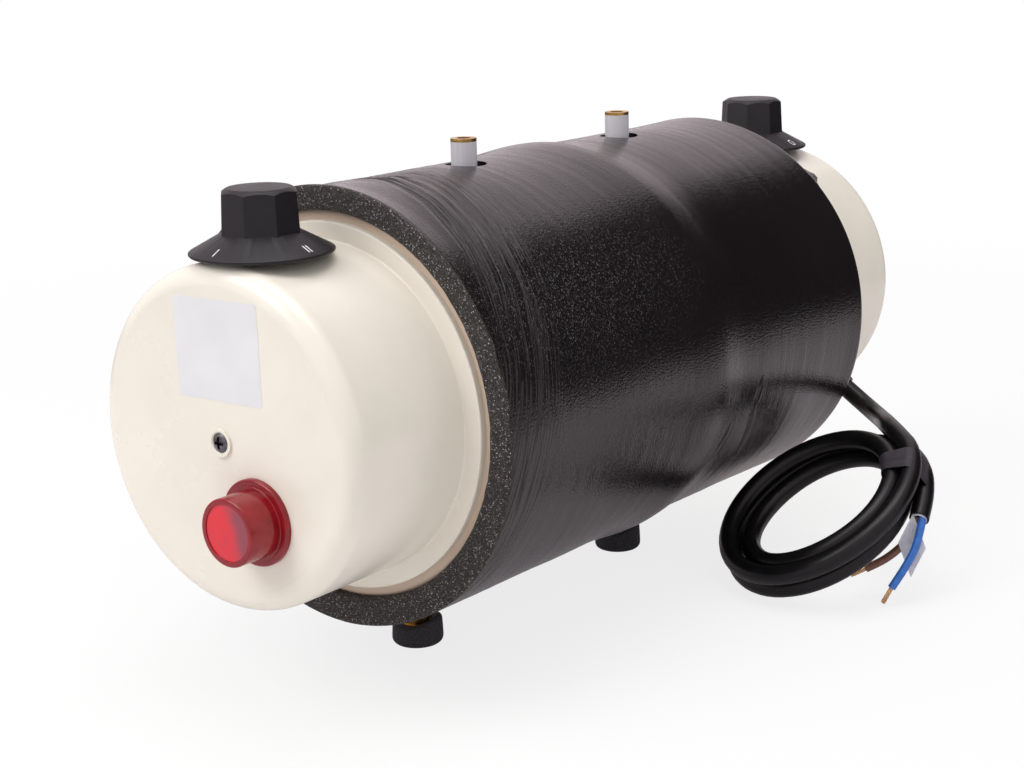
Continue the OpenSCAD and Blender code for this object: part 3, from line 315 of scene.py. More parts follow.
def lens_window(colour, centre):
    """The lens's thin window, with painted light: bright red on its left, fading to a duller painted shade on
    its right
    """
    material, put, place = new_finish("red_acrylic_window")
    # across the window, 20 mm from edge to edge
    across = put("Mapping", {"Vector": place, "Location": [-c for c in centre]})
    turned = put("Mapping", {"Vector": across, "Rotation": (0, radians(12), 0), "Scale": (50, 50, 50)})
    # painted light and shade: a straight ramp across the window, its boundary roughened by haze
    cup = put("TexGradient", {"Vector": turned}, gradient_type="LINEAR")
    haze = put("TexNoise", {"Vector": place, "Scale": 210, "Detail": 3})
    edge = put("Math", {0: haze, 1: 0.3, 2: -0.15}, operation="MULTIPLY_ADD")
    spread = put("Math", {0: cup.outputs["Fac"], 1: edge}, operation="ADD")
    # the bright red is the painted light, #8E3D4B the painted shade
    return coat(material, spread, [(0.0, tint(colour, 1.04)), (0.28, srgb("#8E3D4B"))],
                {"Roughness": 0.12, "IOR": 1.49})


def flex_sheath(name, colour, rough):
    """Extruded PVC: smooth, satin, with faint dust and marks of the die about 1.4 mm across"""
    material, put, place = new_finish(name)
    dust = put("TexNoise", {"Vector": place, "Scale": 120, "Detail": 6, "Roughness": 0.7})
    gloss = put("ValToRGB", {"Fac": dust}, ramp=[(0.3, rough - 0.05), (0.75, rough + 0.07)])
    die = put("TexNoise", {"Vector": place, "Scale": 700, "Detail": 2})
    return coat(material, dust, [(0.35, tint(colour, 0.7)), (0.75, tint(colour, 1.2))],
                {"Roughness": gloss, "Specular IOR Level": 0.3}, (die, 0.06, 0.0003))


def core_insulation(name, colour):
    """Thin PVC on a core: smooth, with slight smears 2.4 mm across"""
    material, put, place = new_finish(name)
    smear = put("TexNoise", {"Vector": place, "Scale": 420, "Detail": 5})
    return coat(material, smear, [(0.3, tint(colour, 0.8)), (0.7, tint(colour, 1.15))],
                {"Roughness": 0.38, "IOR": 1.53}, (smear, 0.1, 0.0002))


def foam_rubber():
    """Cellular rubber: matt black with open pores about 0.6 mm across, each painted in shade, darker in its
    middle than at its walls
    """
    material, put, place = new_finish("cellular_rubber")
    pores = put("TexVoronoi", {"Vector": place, "Scale": 1700}, feature="F1")
    return coat(material, pores, [(0.1, srgb("#0C0C0E")), (0.6, srgb("#38373C"))],
                {"Roughness": 0.74}, (pores, 0.6, 0.0005))


def clear_strip():
    """Clear polyester wrap from under the sheath: thin and hazy"""
    material, put, place = new_finish("hazy_polyester_wrap")
    haze = put("TexNoise", {"Vector": place, "Scale": 300, "Detail": 4})
    return coat(material, haze, [(0.3, srgb("#D5D4E2")), (0.7, srgb("#F0F0F6"))],
                {"Roughness": 0.3, "Transmission Weight": 0.35})


# Modelling tools
def deselect():
    if bpy.context.object and bpy.context.object.mode != "OBJECT":
        bpy.ops.object.mode_set(mode="OBJECT")
    bpy.ops.object.select_all(action="DESELECT")


def started(name):
    """The primitive that was just added, with its name"""
    piece = bpy.context.object
    piece.name = name
    piece.data.name = name
    return piece


def activate(piece):
    deselect()
    piece.select_set(True)
    bpy.context.view_layer.objects.active = piece


def edit(piece, kind="VERT"):
    activate(piece)
    bpy.ops.object.mode_set(mode="EDIT")
    bpy.ops.mesh.select_mode(type=kind)


def pick(piece, test, kind="faces"):
    """Selects the faces, edges or verts for which test is true, in edit mode"""
    mesh = bmesh.from_edit_mesh(piece.data)
    bpy.ops.mesh.select_all(action="DESELECT")
    for element in getattr(mesh, kind):
        element.select_set(bool(test(element)))
    mesh.select_flush_mode()
    bmesh.update_edit_mesh(piece.data)


def middle(edge):
    return (edge.verts[0].co + edge.verts[1].co) / 2


def settle(piece):
    """Leaves edit mode and puts the piece's place into its mesh"""
    activate(piece)
    bpy.ops.object.transform_apply(location=True, rotation=True, scale=True)


def modify(piece, kind, **settings):
    activate(piece)
    modifier = piece.modifiers.new(kind.title(), kind)
    for key, value in settings.items():
        setattr(modifier, key, value)
    bpy.ops.object.modifier_apply(modifier=modifier.name)


def mend(piece):
    """Merges doubles and turns every face outwards"""
    edit(piece)
    bpy.ops.mesh.select_all(action="SELECT")
    bpy.ops.mesh.remove_doubles(threshold=1e-6)
    bpy.ops.mesh.normals_make_consistent(inside=False)
    bpy.ops.object.mode_set(mode="OBJECT")


def reshape(piece, move):
    """Leaves edit mode and moves every vertex to move(place)"""
    activate(piece)
    for vertex in piece.data.vertices:
        vertex.co = move(vertex.co)
    piece.data.update()


def dress(piece, finishes, body, slot, *nodes, angle=40):
    """Gives a piece its finishes and body, and hides the CAD nodes that it stands for; its slot is not used
    """
    activate(piece)
    if piece.type == "MESH":
        bpy.ops.object.shade_smooth_by_angle(angle=radians(angle))
    piece.data.materials.clear()
    for finish in finishes:
        piece.data.materials.append(finish)
    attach(piece, body)
    if nodes:
        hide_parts(*nodes)
    return piece


def joined(name, pieces):
    deselect()
    for piece in pieces:
        piece.select_set(True)
    bpy.context.view_layer.objects.active = pieces[0]
    bpy.ops.object.join()
    return started(name)


def smooth_path(points, steps):
    """Points on a smooth curve through the given points"""
    points = [Vector(p) for p in points]
    path = []
    for i in range(len(points) - 1):
        a, b, c, d = points[max(i - 1, 0)], points[i], points[i + 1], points[min(i + 2, len(points) - 1)]
        for k in range(steps):
            t = k / steps
            path.append(0.5 * (2 * b + (c - a) * t + (2 * a - 5 * b + 4 * c - d) * t * t
                               + (3 * b - a - 3 * c + d) * t * t * t))
    path.append(points[-1])
    return path


def tube_curve(name, path, diameter, sides=6):
    """A curve of one open spline with a round section"""
    data = bpy.data.curves.new(name, "CURVE")
    data.dimensions = "3D"
    data.bevel_depth = diameter / 2
    data.bevel_resolution = sides
    data.use_fill_caps = True
    spline = data.splines.new("POLY")
    spline.points.add(len(path) - 1)
    for point, place in zip(spline.points, path):
        point.co = (*place, 1)
    spline.use_smooth = True
    piece = bpy.data.objects.new(name, data)
    bpy.context.scene.collection.objects.link(piece)
    return piece


def as_mesh(piece):
    activate(piece)
    bpy.ops.object.convert(target="MESH")
    return bpy.context.object


# The flex's route, in the part's frame, in millimetres
FLEX_D = 7.8
COIL_LEAN, COIL_ROLL, COIL_OVAL = radians(28.5), radians(16.5), 0.95
COIL_R, COIL_STEP, COIL_TURNS, COIL_START = 46.3, 8.75, 3, radians(45)
COIL_U = Vector((cos(COIL_ROLL), 0, sin(COIL_ROLL)))
COIL_N = Vector((-sin(COIL_ROLL) * cos(COIL_LEAN), -sin(COIL_LEAN), cos(COIL_LEAN) * cos(COIL_ROLL)))
COIL_V = COIL_N.cross(COIL_U)
COIL_WAY = (COIL_OVAL * sin(COIL_START) * COIL_U - cos(COIL_START) * COIL_V).normalized()
COIL_SIDE = (COIL_OVAL * cos(COIL_START) * COIL_U + sin(COIL_START) * COIL_V).normalized()
GLAND_ANGLE = radians(124)
GLAND_DIR = Vector((sin(GLAND_ANGLE), 0, cos(GLAND_ANGLE)))
# the grommet's tip, out from the axis
FLEX_START = Vector((0, 147.5, 103)) + 74.5 * GLAND_DIR


def coil_at(s, mid):
    """The coil's middle line from 0 to 1: in on the upper layer, down where it turns, out on the lower"""
    angle = COIL_START - 2 * pi * COIL_TURNS * s
    r = COIL_R - COIL_STEP * COIL_TURNS * min(s, 1 - s)
    c = (0.5 - s) * COIL_TURNS * 2
    layer = COIL_STEP / 2 * (-1 if c < -0.5 else 1 if c > 0.5 else sin(c * pi))
    return mid + COIL_OVAL * r * cos(angle) * COIL_U + r * sin(angle) * COIL_V + layer * COIL_N


# the coil lies 0.3 mm over the floor
COIL_LOW = min(coil_at(k / 72, Vector())[2] for k in range(73)) - FLEX_D / 2
COIL_MID = Vector((93.2, 67.5, 0.3 - COIL_LOW))
COIL_IN = coil_at(0, COIL_MID) - FLEX_D * COIL_WAY
COIL_OUT = coil_at(1, COIL_MID)
# the lead sweeps from the grommet into the coil: how far it keeps each end's direction
LEAD_OUT, LEAD_IN = FLEX_START + 34 * GLAND_DIR, COIL_IN - 24 * COIL_WAY
LEAD = [FLEX_START * (1 - t) ** 3 + LEAD_OUT * 3 * t * (1 - t) ** 2 + LEAD_IN * 3 * t * t * (1 - t)
        + COIL_IN * t ** 3 for t in (k / 9 for k in range(10))]
TAIL = [COIL_OUT + Vector(bend) for bend in (
    (0, 0, 0), (2.96, -2.55, -0.57), (6.38, -5.96, -1.76), (12.25, -13.65, -4.4), (16.62, -22.52, -9.75),
    (19.26, -31.63, -15.78))]
TAIL_END = TAIL[-1]
TAIL_DIR = (TAIL_END - TAIL[-2]).normalized()
TAIL_SIDE = TAIL_DIR.cross(Vector((0, 1, 0))).normalized()
# each core runs from inside the cut end, beside its middle, to the tip of its strands
CORE_SET, CORE_IN = 1.6 * TAIL_SIDE, 2 * TAIL_DIR
BLUE = [TAIL_END + CORE_SET - CORE_IN, TAIL_END + CORE_SET] + [TAIL_END + Vector(bend) for bend in (
    (1.5, -1.98, -4.31), (1.13, -5.7, -11.31), (-1.15, -9.94, -18.51), (-4.58, -13.62, -26.11),
    (-7.7, -14.7, -32.6))]
BROWN = [TAIL_END - CORE_SET - CORE_IN, TAIL_END - CORE_SET] + [TAIL_END + Vector(bend) for bend in (
    (-2.72, -1.31, -6.11), (-6.83, -1.57, -12.51), (-12.42, -4.3, -18.11), (-19.13, -7.6, -22.51),
    (-24.13, -10.89, -25.31))]
# the tape's width, its middle past the coil's start, its slant and how far round it looks for cords
TAPE_W, TAPE_AT, TAPE_SKEW, TAPE_REACH = 15, 16.0, 0.6, 38
# corners of the loose wrap, from the cut end: in the sheath, right and left
WRAP_CORNERS = ((-1.68, -2.03, 2.48), (3.74, -0.94, -11.44), (-5.85, -6.27, -9.46))


class HEATER_OT_stage(bpy.types.Operator):
    """Camera at the photograph's place, pale floor and soft studio light"""
    bl_idname = "heater.stage"
    bl_label = "Stage"
    # the camera: its angles and place, its focal length and the picture's width in pixels
    AZIMUTH, ELEVATION, ROLL = radians(38.165), radians(13.958), radians(-1.526)
    EYE, FOCAL, PICTURE_W, SENSOR_W = (0.4657, -0.6102, 0.2768), 1926.8, 1024, 36
    # the studio's light from left to right, and the dark opening in the white backdrop of reflections
    FILL_LEFT, FILL_RIGHT = 0.44, 0.72
    OPENING_AZ, OPENING_EL, OPENING_OUT, OPENING_IN = radians(32), radians(14), radians(40), radians(34)
    WHITE, PAPER, DARK = (1, 1, 1, 1), (0.86, 0.86, 0.86, 1), (0.02, 0.02, 0.02, 1)
    # reflections take a slight warm cast from the room
    WARM_STUDIO, WARM_WHITE, WARM_PAPER = (0.94, 0.82, 0.86, 1), (0.90, 0.82, 0.86, 1), (0.77, 0.70, 0.74, 1)
    # reflections show the paper's own shading more, so that they hold the object's shadow
    MIRRORED = 0.3
    # in reflections the paper ends at the table's edge, this far from the middle
    TABLE_NEAR, TABLE_FAR = 0.62, 0.85
    # each lamp's name, place, aim, size and watts
    LAMPS = (("key_softbox", (-0.55, -1.15, 1.25), (0, -0.1, 0.1), 0.9, 12.5),
             ("top_softbox", (0.1, -0.1, 1.6), (0, 0.0, 0.1), 1.0, 10))

    def execute(self, context):
        scene = context.scene
        scene.view_settings.view_transform = "Standard"
        self.camera(scene)
        self.floor()
        self.world(scene)
        self.lamps(scene)
        return {"FINISHED"}

    def camera(self, scene):
        azimuth, elevation, roll = self.AZIMUTH, self.ELEVATION, self.ROLL
        ahead = Vector((-sin(azimuth) * cos(elevation), cos(azimuth) * cos(elevation), -sin(elevation)))
        level = Vector((cos(azimuth), sin(azimuth), 0))
        upright = level.cross(ahead)
        right = level * cos(roll) + upright * sin(roll)
        up = -level * sin(roll) + upright * cos(roll)
        lens = bpy.data.cameras.new("photo_camera")
        lens.sensor_width = self.SENSOR_W
        lens.lens = self.FOCAL * self.SENSOR_W / self.PICTURE_W
        lens.clip_start = 0.01
        camera = bpy.data.objects.new("photo_camera", lens)
        scene.collection.objects.link(camera)
        camera.matrix_world = Matrix([*zip(right, up, -ahead, self.EYE), (0, 0, 0, 1)])
        scene.camera = camera

    def floor(self):
        deselect()
        bpy.ops.mesh.primitive_plane_add(size=8, location=(0, 0, 0))
        floor = started("floor")
        material, put, place = new_finish("pale_paper_sweep")
        paths = put("LightPath").outputs
        glossy = paths["Is Glossy Ray"]
        seen = put("Math", {0: paths["Is Camera Ray"], 1: paths["Is Transmission Ray"]}, operation="MAXIMUM")
        mirrored = put("Math", {0: glossy, 1: self.MIRRORED}, operation="MULTIPLY")
        seen = put("Math", {0: seen, 1: mirrored}, operation="MAXIMUM")
        # the shadow is kept near the object, and the paper fades to plain white a metre away
        near = put("Mapping", {"Vector": place, "Scale": (1.05, 1.05, 1.05)})
        fade = put("TexGradient", {"Vector": near}, gradient_type="SPHERICAL")
        plain = put("ValToRGB", {"Fac": fade.outputs["Fac"]}, ramp=[(0.02, 1.0), (0.6, 0.8)])
        share = put("Math", {0: seen, 1: plain}, operation="MULTIPLY")
        cast = put("Mix", {0: glossy, 6: self.PAPER, 7: self.WARM_PAPER}, data_type="RGBA")
        paper = put("BsdfDiffuse", {"Color": cast.outputs[2]})
        cast = put("Mix", {0: glossy, 6: self.WHITE, 7: self.WARM_WHITE}, data_type="RGBA")
        white = put("Emission", {"Color": cast.outputs[2], "Strength": 1.0})
        sweep = put("MixShader", {0: share, 1: paper, 2: white})
        reach = put("VectorMath", {0: place}, operation="LENGTH")
        past = put("MapRange", {0: reach.outputs["Value"], 1: self.TABLE_NEAR, 2: self.TABLE_FAR})
        past = put("Math", {0: past, 1: glossy}, operation="MULTIPLY")
        dark = put("Emission", {"Color": self.DARK, "Strength": 1.0})
        put("OutputMaterial", {"Surface": put("MixShader", {0: past, 1: sweep, 2: dark})})
        floor.data.materials.append(material)

    def world(self, scene):
        world = bpy.data.worlds.new("studio")
        scene.world = world
        world.use_nodes = True
        world.node_tree.nodes.clear()
        put = partial(add, world.node_tree)
        paths = put("LightPath").outputs
        glossy = paths["Is Glossy Ray"]
        seen = put("Math", {0: paths["Is Camera Ray"], 1: paths["Is Transmission Ray"]}, operation="MAXIMUM")
        toward = put("TexCoord").outputs["Generated"]
        side = put("SeparateXYZ", {"Vector": toward})
        fill = put("MapRange", {0: side, 1: -1, 2: 1, 3: self.FILL_LEFT, 4: self.FILL_RIGHT})
        level = put("MapRange", {0: seen, 3: fill, 4: 1.0})
        flat = cos(self.OPENING_EL)
        opening = Vector((sin(self.OPENING_AZ) * flat, cos(self.OPENING_AZ) * flat, sin(self.OPENING_EL)))
        facing = put("VectorMath", {0: toward, 1: opening}, operation="DOT_PRODUCT")
        backdrop = put("MapRange", {
            0: facing.outputs["Value"], 1: cos(self.OPENING_OUT), 2: cos(self.OPENING_IN), 3: 1.0, 4: 0.02},
            interpolation_type="SMOOTHSTEP")
        level = put("Mix", {0: glossy, 2: level, 3: backdrop})
        cast = put("Mix", {0: glossy, 6: self.WHITE, 7: self.WARM_STUDIO}, data_type="RGBA")
        sky = put("Background", {"Color": cast.outputs[2], "Strength": level})
        put("OutputWorld", {"Surface": sky})

    def lamps(self, scene):
        for name, place, aim, size, watts in self.LAMPS:
            data = bpy.data.lights.new(name, "AREA")
            data.size = size
            data.energy = watts
            lamp = bpy.data.objects.new(name, data)
            scene.collection.objects.link(lamp)
            lamp.location = place
            lamp.rotation_euler = (Vector(aim) - Vector(place)).to_track_quat("-Z", "Y").to_euler()


class HEATER_OT_flex(bpy.types.Operator):
    """Mains flex: lead from the grommet, leaning coil and cut tail, as one curve"""
    bl_idname = "heater.flex"
    bl_label = "Mains flex"
    # strands: their count, thickness and twist from end to end
    WIRES, WIRE_D, TWIST, WIRE_STEPS = 7, 0.6, 4.2, 8
    # tape: points round it, cuts across it, its thickness, its height over the sheath and its creases
    TAPE_SIDES, TAPE_CUTS, TAPE_T, TAPE_OVER, TAPE_CREASE = 96, 17, 0.3, 0.4, 0.14
    # wrap: its thickness, its bow and the way it bows, and the ring in the cut end
    WRAP_T, WRAP_BOW, WRAP_WAY = 0.12, 0.8, Vector((-0.6, 0.76, -0.24))
    RING_R, RING_LONG, RING_T = 3.2, 2.4, 0.35

    def execute(self, context):
        size = sizes()
        lead = smooth_path(LEAD, 4)
        coil = [coil_at(k / 192, COIL_MID) for k in range(193)]
        tail = smooth_path(TAIL, 3)
        self.line = lead + coil[1:] + tail[1:]
        path = [p * MM for p in self.line]
        flex = tube_curve("mains_flex", path, size.flex_d, 8)
        sheath = flex_sheath("extruded_pvc_sheath", colours().flex, 0.34)
        dress(flex, [sheath], "boiler", "flex_pvc", "flex_lead", "flex_coil", "flex_tail")
        pieces = self.cores(size) + [self.tape(), self.strip()]
        return {"FINISHED"}

    def cores(self, size):
        copper = metal("drawn_copper", srgb("#EBCB9B"), srgb("#B98F5C"), 0.28, (2000, 2000, 2000))
        pieces = []
        for name, route, colour in (("blue", BLUE, colours().blue), ("brown", BROWN, colours().brown)):
            path = [p * MM for p in smooth_path(route[:-1], 5)]
            core = as_mesh(tube_curve(name + "_core_insulation", path, size.core_d, 5))
            mend(core)
            pieces.append(dress(core, [core_insulation(name + "_pvc_insulation", colour)], "boiler",
                                "core_" + name, name + "_core"))
            tip = route[-1] * MM
            way = (tip - path[-1]).normalized()
            side = way.cross(Vector((0, 0, 1))).normalized()
            rise = side.cross(way)
            wires = []
            for k in range(self.WIRES):
                # one wire in the middle and the others twisted round it
                reach = 0 if k == 0 else self.WIRE_D * MM
                line = []
                for j in range(self.WIRE_STEPS + 1):
                    along = j / self.WIRE_STEPS
                    turn = 2 * pi * k / (self.WIRES - 1) + self.TWIST * along
                    line.append(path[-1].lerp(tip, -0.06 + 1.06 * along)
                                + (side * cos(turn) + rise * sin(turn)) * reach * (1 + 0.02 * j))
                wires.append(as_mesh(tube_curve("wire", line, self.WIRE_D * MM, 2)))
            strands = joined(name + "_bare_strands", wires)
            mend(strands)
            pieces.append(dress(strands, [copper], "boiler", "copper", name + "_strands"))
        return pieces

    def bundle(self, station):
        """Where the flex crosses the plane at a distance past the coil's start, in mm aside and up"""
        start = coil_at(0, COIL_MID)
        spots = []
        for a, b in zip(self.line, self.line[1:]):
            before, after = (a - start).dot(COIL_WAY) - station, (b - start).dot(COIL_WAY) - station
            if before * after <= 0 and before != after:
                spot = a.lerp(b, before / (before - after)) - start
                if spot.length < TAPE_REACH:
                    spots.append(Vector((spot.dot(COIL_SIDE), spot.dot(COIL_N))))
        return spots

    def tape(self):
        """Insulating tape drawn tight round the coil's end, the lead and the start of the tail"""
        deselect()
        bpy.ops.mesh.primitive_cylinder_add(
            vertices=self.TAPE_SIDES, radius=1, depth=TAPE_W, end_fill_type="NOTHING")
        tape = started("pvc_tape_band")
        edit(tape, "EDGE")
        pick(tape, lambda e: abs((e.verts[0].co - e.verts[1].co).z) > 1, "edges")
        bpy.ops.mesh.subdivide(number_cuts=self.TAPE_CUTS)
        start = coil_at(0, COIL_MID)
        bundles = {}

        def drawn(station, way):
            key = round(station * 4)
            if key not in bundles:
                bundles[key] = self.bundle(key / 4)
            outer = max(bundles[key], key=lambda spot: spot.dot(way))
            return outer + way * (sizes().flex_d / MM / 2 + self.TAPE_OVER)

        def wrap(p):
            way = Vector((p.x, p.y)).normalized()
            station = TAPE_AT + p.z
            spot = drawn(station, way)
            station += TAPE_SKEW * (spot.x + COIL_STEP)
            crease = self.TAPE_CREASE * noise.noise(Vector((way.x * 3, way.y * 3, p.z * 0.6)))
            spot = drawn(station, way) + way * crease
            return (start + COIL_SIDE * spot.x + COIL_N * spot.y + COIL_WAY * station) * MM

        reshape(tape, wrap)
        mend(tape)
        modify(tape, "SOLIDIFY", thickness=self.TAPE_T * MM, offset=1)
        film = flex_sheath("pvc_tape", srgb("#39353B"), 0.55)
        return dress(tape, [film], "boiler", "flex_pvc", "coil_tape", angle=50)

    def strip(self):
        """Wrap from under the sheath: a ring in the cut end and a loose corner between the cores"""
        deselect()
        bpy.ops.mesh.primitive_grid_add(x_subdivisions=14, y_subdivisions=14, size=1)
        strip = started("wrap_strip")
        corner, right, left = (TAIL_END + Vector(bend) for bend in WRAP_CORNERS)

        def hang(p):
            u, v = p.x + 0.5, p.y + 0.5
            bow = self.WRAP_BOW * sin(pi * u) * sin(pi * v)
            return (corner + (right - corner) * u + (left - corner) * v + self.WRAP_WAY * bow) * MM

        reshape(strip, hang)
        modify(strip, "SOLIDIFY", thickness=self.WRAP_T * MM, offset=0)
        deselect()
        bpy.ops.mesh.primitive_cylinder_add(
            vertices=48, radius=self.RING_R * MM, depth=self.RING_LONG * MM, end_fill_type="NOTHING")
        ring = started("wrap_ring")
        turn = Vector((0, 0, 1)).rotation_difference(TAIL_DIR)
        reshape(ring, lambda p: turn @ p + (TAIL_END - 0.4 * TAIL_DIR) * MM)
        modify(ring, "SOLIDIFY", thickness=self.RING_T * MM, offset=-1)
        wrapping = joined("wrap_strip", [strip, ring])
        mend(wrapping)
        return dress(wrapping, [clear_strip()], "boiler", "pipe_plastic")


class HEATER_OT_jacket(bpy.types.Operator):
    """Foam jacket: creased film outside, cut foam at its ends, holes for spouts and feet"""
    bl_idname = "heater.jacket"
    bl_label = "Foam jacket"
    # all in millimetres, from the boiler's middle
    LENGTH, SHIFT, RADIUS, DROP, BORE = 245.6, -6.9, JACKET_R / MM, 1.9, 71.5
    # points round the film, and cuts along it, made twice
    SIDES, CUTS = 216, 17
    # flares: at the front's top; at the rear all round, and more on its right
    FRONT_FLARE, FRONT_LONG, REAR_FLARE, REAR_RIGHT, REAR_LONG = 2.2, 15.0, 0.6, 2.0, 40.0
    # the ridge over the tank's waist, and the hollow behind it: height, place, and reach before and behind
    RIDGE, HOLLOW = (1.8, 2.0, 17.0, 13.0), (-0.25, 24.0, 10.0, 18.0)
    # soft creases behind the front edge: distance from the edge on top, and depth
    FRONT_CREASES = ((30.0, 0.5), (34.0, 0.3), (38.5, 0.25), (44.0, 0.2))
    # how far they sway, and the heights of ripples and swells in the film
    SWAY, RIPPLE, SWELL = 1.8, 0.08, 0.45
    # where the fine grooves begin and end behind the edge, and how far round from the top creases fade
    GROOVE_FROM, GROOVE_TO, FADE_ARC = 28, 62, 112
    # sharp creases low on the right side: places along the axis and round the jacket from its top
    DENTS = (((35.6, 140.6), (34.1, 150.1), (39.3, 172.7)), ((17.8, 157), (14, 166)))
    DENT_DEEP, DENT_WIDE, LIP_HIGH, LIP_WIDE = 1.2, 0.9, 0.25, 4
    # the tongue of foam on the rear edge: how far out, half its width, how far it reaches back, and where
    NIB_OUT, NIB_WIDE, NIB_LONG, NIB_ANGLE = 4.4, 3.4, 5, radians(44)
    # the film's edge: its rounding and length, how ragged it is, and the rings of the cut end
    EDGE_ROUND, EDGE_LONG, RAGGED, END_RINGS = 0.9, 1.6, 0.35, 8
    # the cut foam shows within this radius, and this near the ends
    INSIDE_R, END_NEAR = 76.5, 1.8
    # holes for the spouts and the feet: place and radius
    SPOUT_HOLE, FOOT_HOLE = 8.0, 8.2
    HOLES = ((0.8, -51, 80, SPOUT_HOLE), (0.8, 51, 80, SPOUT_HOLE),
             (0, -88.5, -80, FOOT_HOLE), (0, 47.5, -80, FOOT_HOLE))

    def from_end(self, y):
        return max(0, self.LENGTH / 2 - abs(y - self.SHIFT))

    def radius(self, y, angle):
        """The film's even form: a ridge over the tank's waist, flared at the rear and at the front's top"""
        r = self.RADIUS
        for height, place, before, behind in (self.RIDGE, self.HOLLOW):
            r += height * exp(-((y - place) / (before if y < place else behind)) ** 2)
        if y > 0:
            flare, reach = self.REAR_FLARE + self.REAR_RIGHT * max(0, sin(angle)) ** 2, self.REAR_LONG
        else:
            flare, reach = self.FRONT_FLARE * max(0, cos(angle)) ** 2, self.FRONT_LONG
        return r + flare * max(0, 1 - self.from_end(y) / reach) ** 2

    def wrinkle(self, y, angle):
        """Height of the film over its even form, at a place along the axis and an angle from the top"""
        arc = angle * self.RADIUS
        back = y - (self.SHIFT - self.LENGTH / 2) + CREASE_LEAN * abs(arc)
        crease = 0
        for place, deep in self.FRONT_CREASES:
            off = back - place - self.SWAY * noise.noise(Vector((arc / 30, place, 1.7)))
            crease -= deep * (exp(-(off / 1.3) ** 2) - 0.4 * exp(-((off + 2.6) / 1.6) ** 2))
        # finer grooves fan out behind them
        groove = noise.noise(Vector((back / 3.2, arc / 52, 0.3)))
        reach = max(0, min(1, (back - self.GROOVE_FROM) / 4)) * exp(-(back / self.GROOVE_TO) ** 4)
        crease -= sizes().wrinkle / MM * max(0, 1 - abs(groove) / 0.25) * reach
        ripple = noise.noise(Vector((y / 4.5, arc / 60, 4.2)))
        swell = noise.noise(Vector((y / 34, arc / 42, 9.9)))
        crease *= exp(-(arc / self.FADE_ARC) ** 6)
        return crease + self.RIPPLE * ripple + self.SWELL * swell + self.dent(y, arc)

    def dent(self, y, arc):
        """Depth of the sharp creases on the right side"""
        spot = Vector((y, arc))
        total = 0
        for line in self.DENTS:
            apart = 1e3
            for a, b in zip(line, line[1:]):
                a, b = Vector(a), Vector(b)
                share = max(0, min(1, (spot - a).dot(b - a) / (b - a).length_squared))
                apart = min(apart, (spot - a.lerp(b, share)).length)
            total -= self.DENT_DEEP * exp(-(apart / self.DENT_WIDE) ** 2)
            total += self.LIP_HIGH * exp(-(apart / self.LIP_WIDE) ** 2)
        return total

    def nib(self, y, angle):
        """A small tongue of foam left on the rear edge"""
        rear = self.SHIFT + self.LENGTH / 2
        across = (angle - self.NIB_ANGLE) * self.RADIUS
        return self.NIB_OUT * exp(-(across / self.NIB_WIDE) ** 4) * max(0, 1 - (rear - y) / self.NIB_LONG)

    def film(self, p):
        """Where a point of the plain tube lies on the creased film"""
        angle = atan2(p.x, p.z)
        near = max(0, 1 - self.from_end(p.y) / self.EDGE_LONG)
        r = self.radius(p.y, angle) + self.wrinkle(p.y, angle) - self.EDGE_ROUND * near ** 2
        y = p.y + (self.nib(p.y, angle) if p.y > 0 and near > 0.6 else 0)
        if near == 1:
            y += self.RAGGED * noise.noise(Vector((angle * 9, 2.5, p.y)))
        return Vector((sin(angle) * r, y, cos(angle) * r - self.DROP))

    def cut_end(self, jacket, end, outwards):
        """Rings from the film's edge to the bore, slightly rough"""
        for step in range(1, self.END_RINGS + 1):
            pick(jacket, lambda e: e.is_boundary and middle(e).y * outwards > 0, "edges")
            bpy.ops.mesh.extrude_edges_move()
            mesh = bmesh.from_edit_mesh(jacket.data)
            t = step / self.END_RINGS
            for v in mesh.verts:
                if not v.select:
                    continue
                angle = atan2(v.co.x, v.co.z + self.DROP)
                outer = self.radius(end, angle) + self.wrinkle(end, angle) - self.EDGE_ROUND
                rim = Vector((sin(angle) * outer, 0, cos(angle) * outer - self.DROP))
                bore = Vector((sin(angle) * self.BORE, 0, cos(angle) * self.BORE))
                spot = rim.lerp(bore, t)
                lump = self.RAGGED * noise.noise(Vector((spot.x / 1.6, spot.z / 1.6, 5.5)))
                back = 0.3 - 1.2 * max(0, t - 0.85) / 0.15 + lump
                v.co = Vector((spot.x, end + outwards * back, spot.z))
            bmesh.update_edit_mesh(jacket.data)

    def execute(self, context):
        deselect()
        bpy.ops.mesh.primitive_cylinder_add(
            vertices=self.SIDES, radius=self.RADIUS, depth=self.LENGTH, end_fill_type="NOTHING",
            rotation=(pi / 2, 0, 0), location=(0, self.SHIFT, 0))
        jacket = started("foam_jacket_sleeve")
        settle(jacket)
        edit(jacket, "EDGE")
        for _ in range(2):
            pick(jacket, lambda e: abs((e.verts[0].co - e.verts[1].co).y) > 0.1, "edges")
            bpy.ops.mesh.subdivide(number_cuts=self.CUTS)
        reshape(jacket, self.film)
        edit(jacket, "EDGE")
        for outwards in (-1, 1):
            self.cut_end(jacket, self.SHIFT + outwards * self.LENGTH / 2, outwards)
        pick(jacket, lambda e: e.is_boundary, "edges")
        bpy.ops.mesh.bridge_edge_loops()
        mend(jacket)
        for x, y, z, r in self.HOLES:
            deselect()
            bpy.ops.mesh.primitive_cylinder_add(vertices=72, radius=r, depth=40, location=(x, y, z))
            punch = started("punch")
            modify(jacket, "BOOLEAN", operation="DIFFERENCE", object=punch, solver="EXACT")
            bpy.data.objects.remove(punch)
        reshape(jacket, lambda p: Vector((p.x * MM, p.y * MM + AXIS_Y, p.z * MM + AXIS_Z)))
        finishes = [jacket_skin(colours().skin), foam_cut(colours().foam)]
        dress(jacket, finishes, "boiler", "foam", "foam_jacket", angle=50)
        for face in jacket.data.polygons:
            c = (face.center - Vector((0, AXIS_Y, AXIS_Z))) / MM
            inside = hypot(c.x, c.z) < self.INSIDE_R and abs(face.normal.y) < 0.4
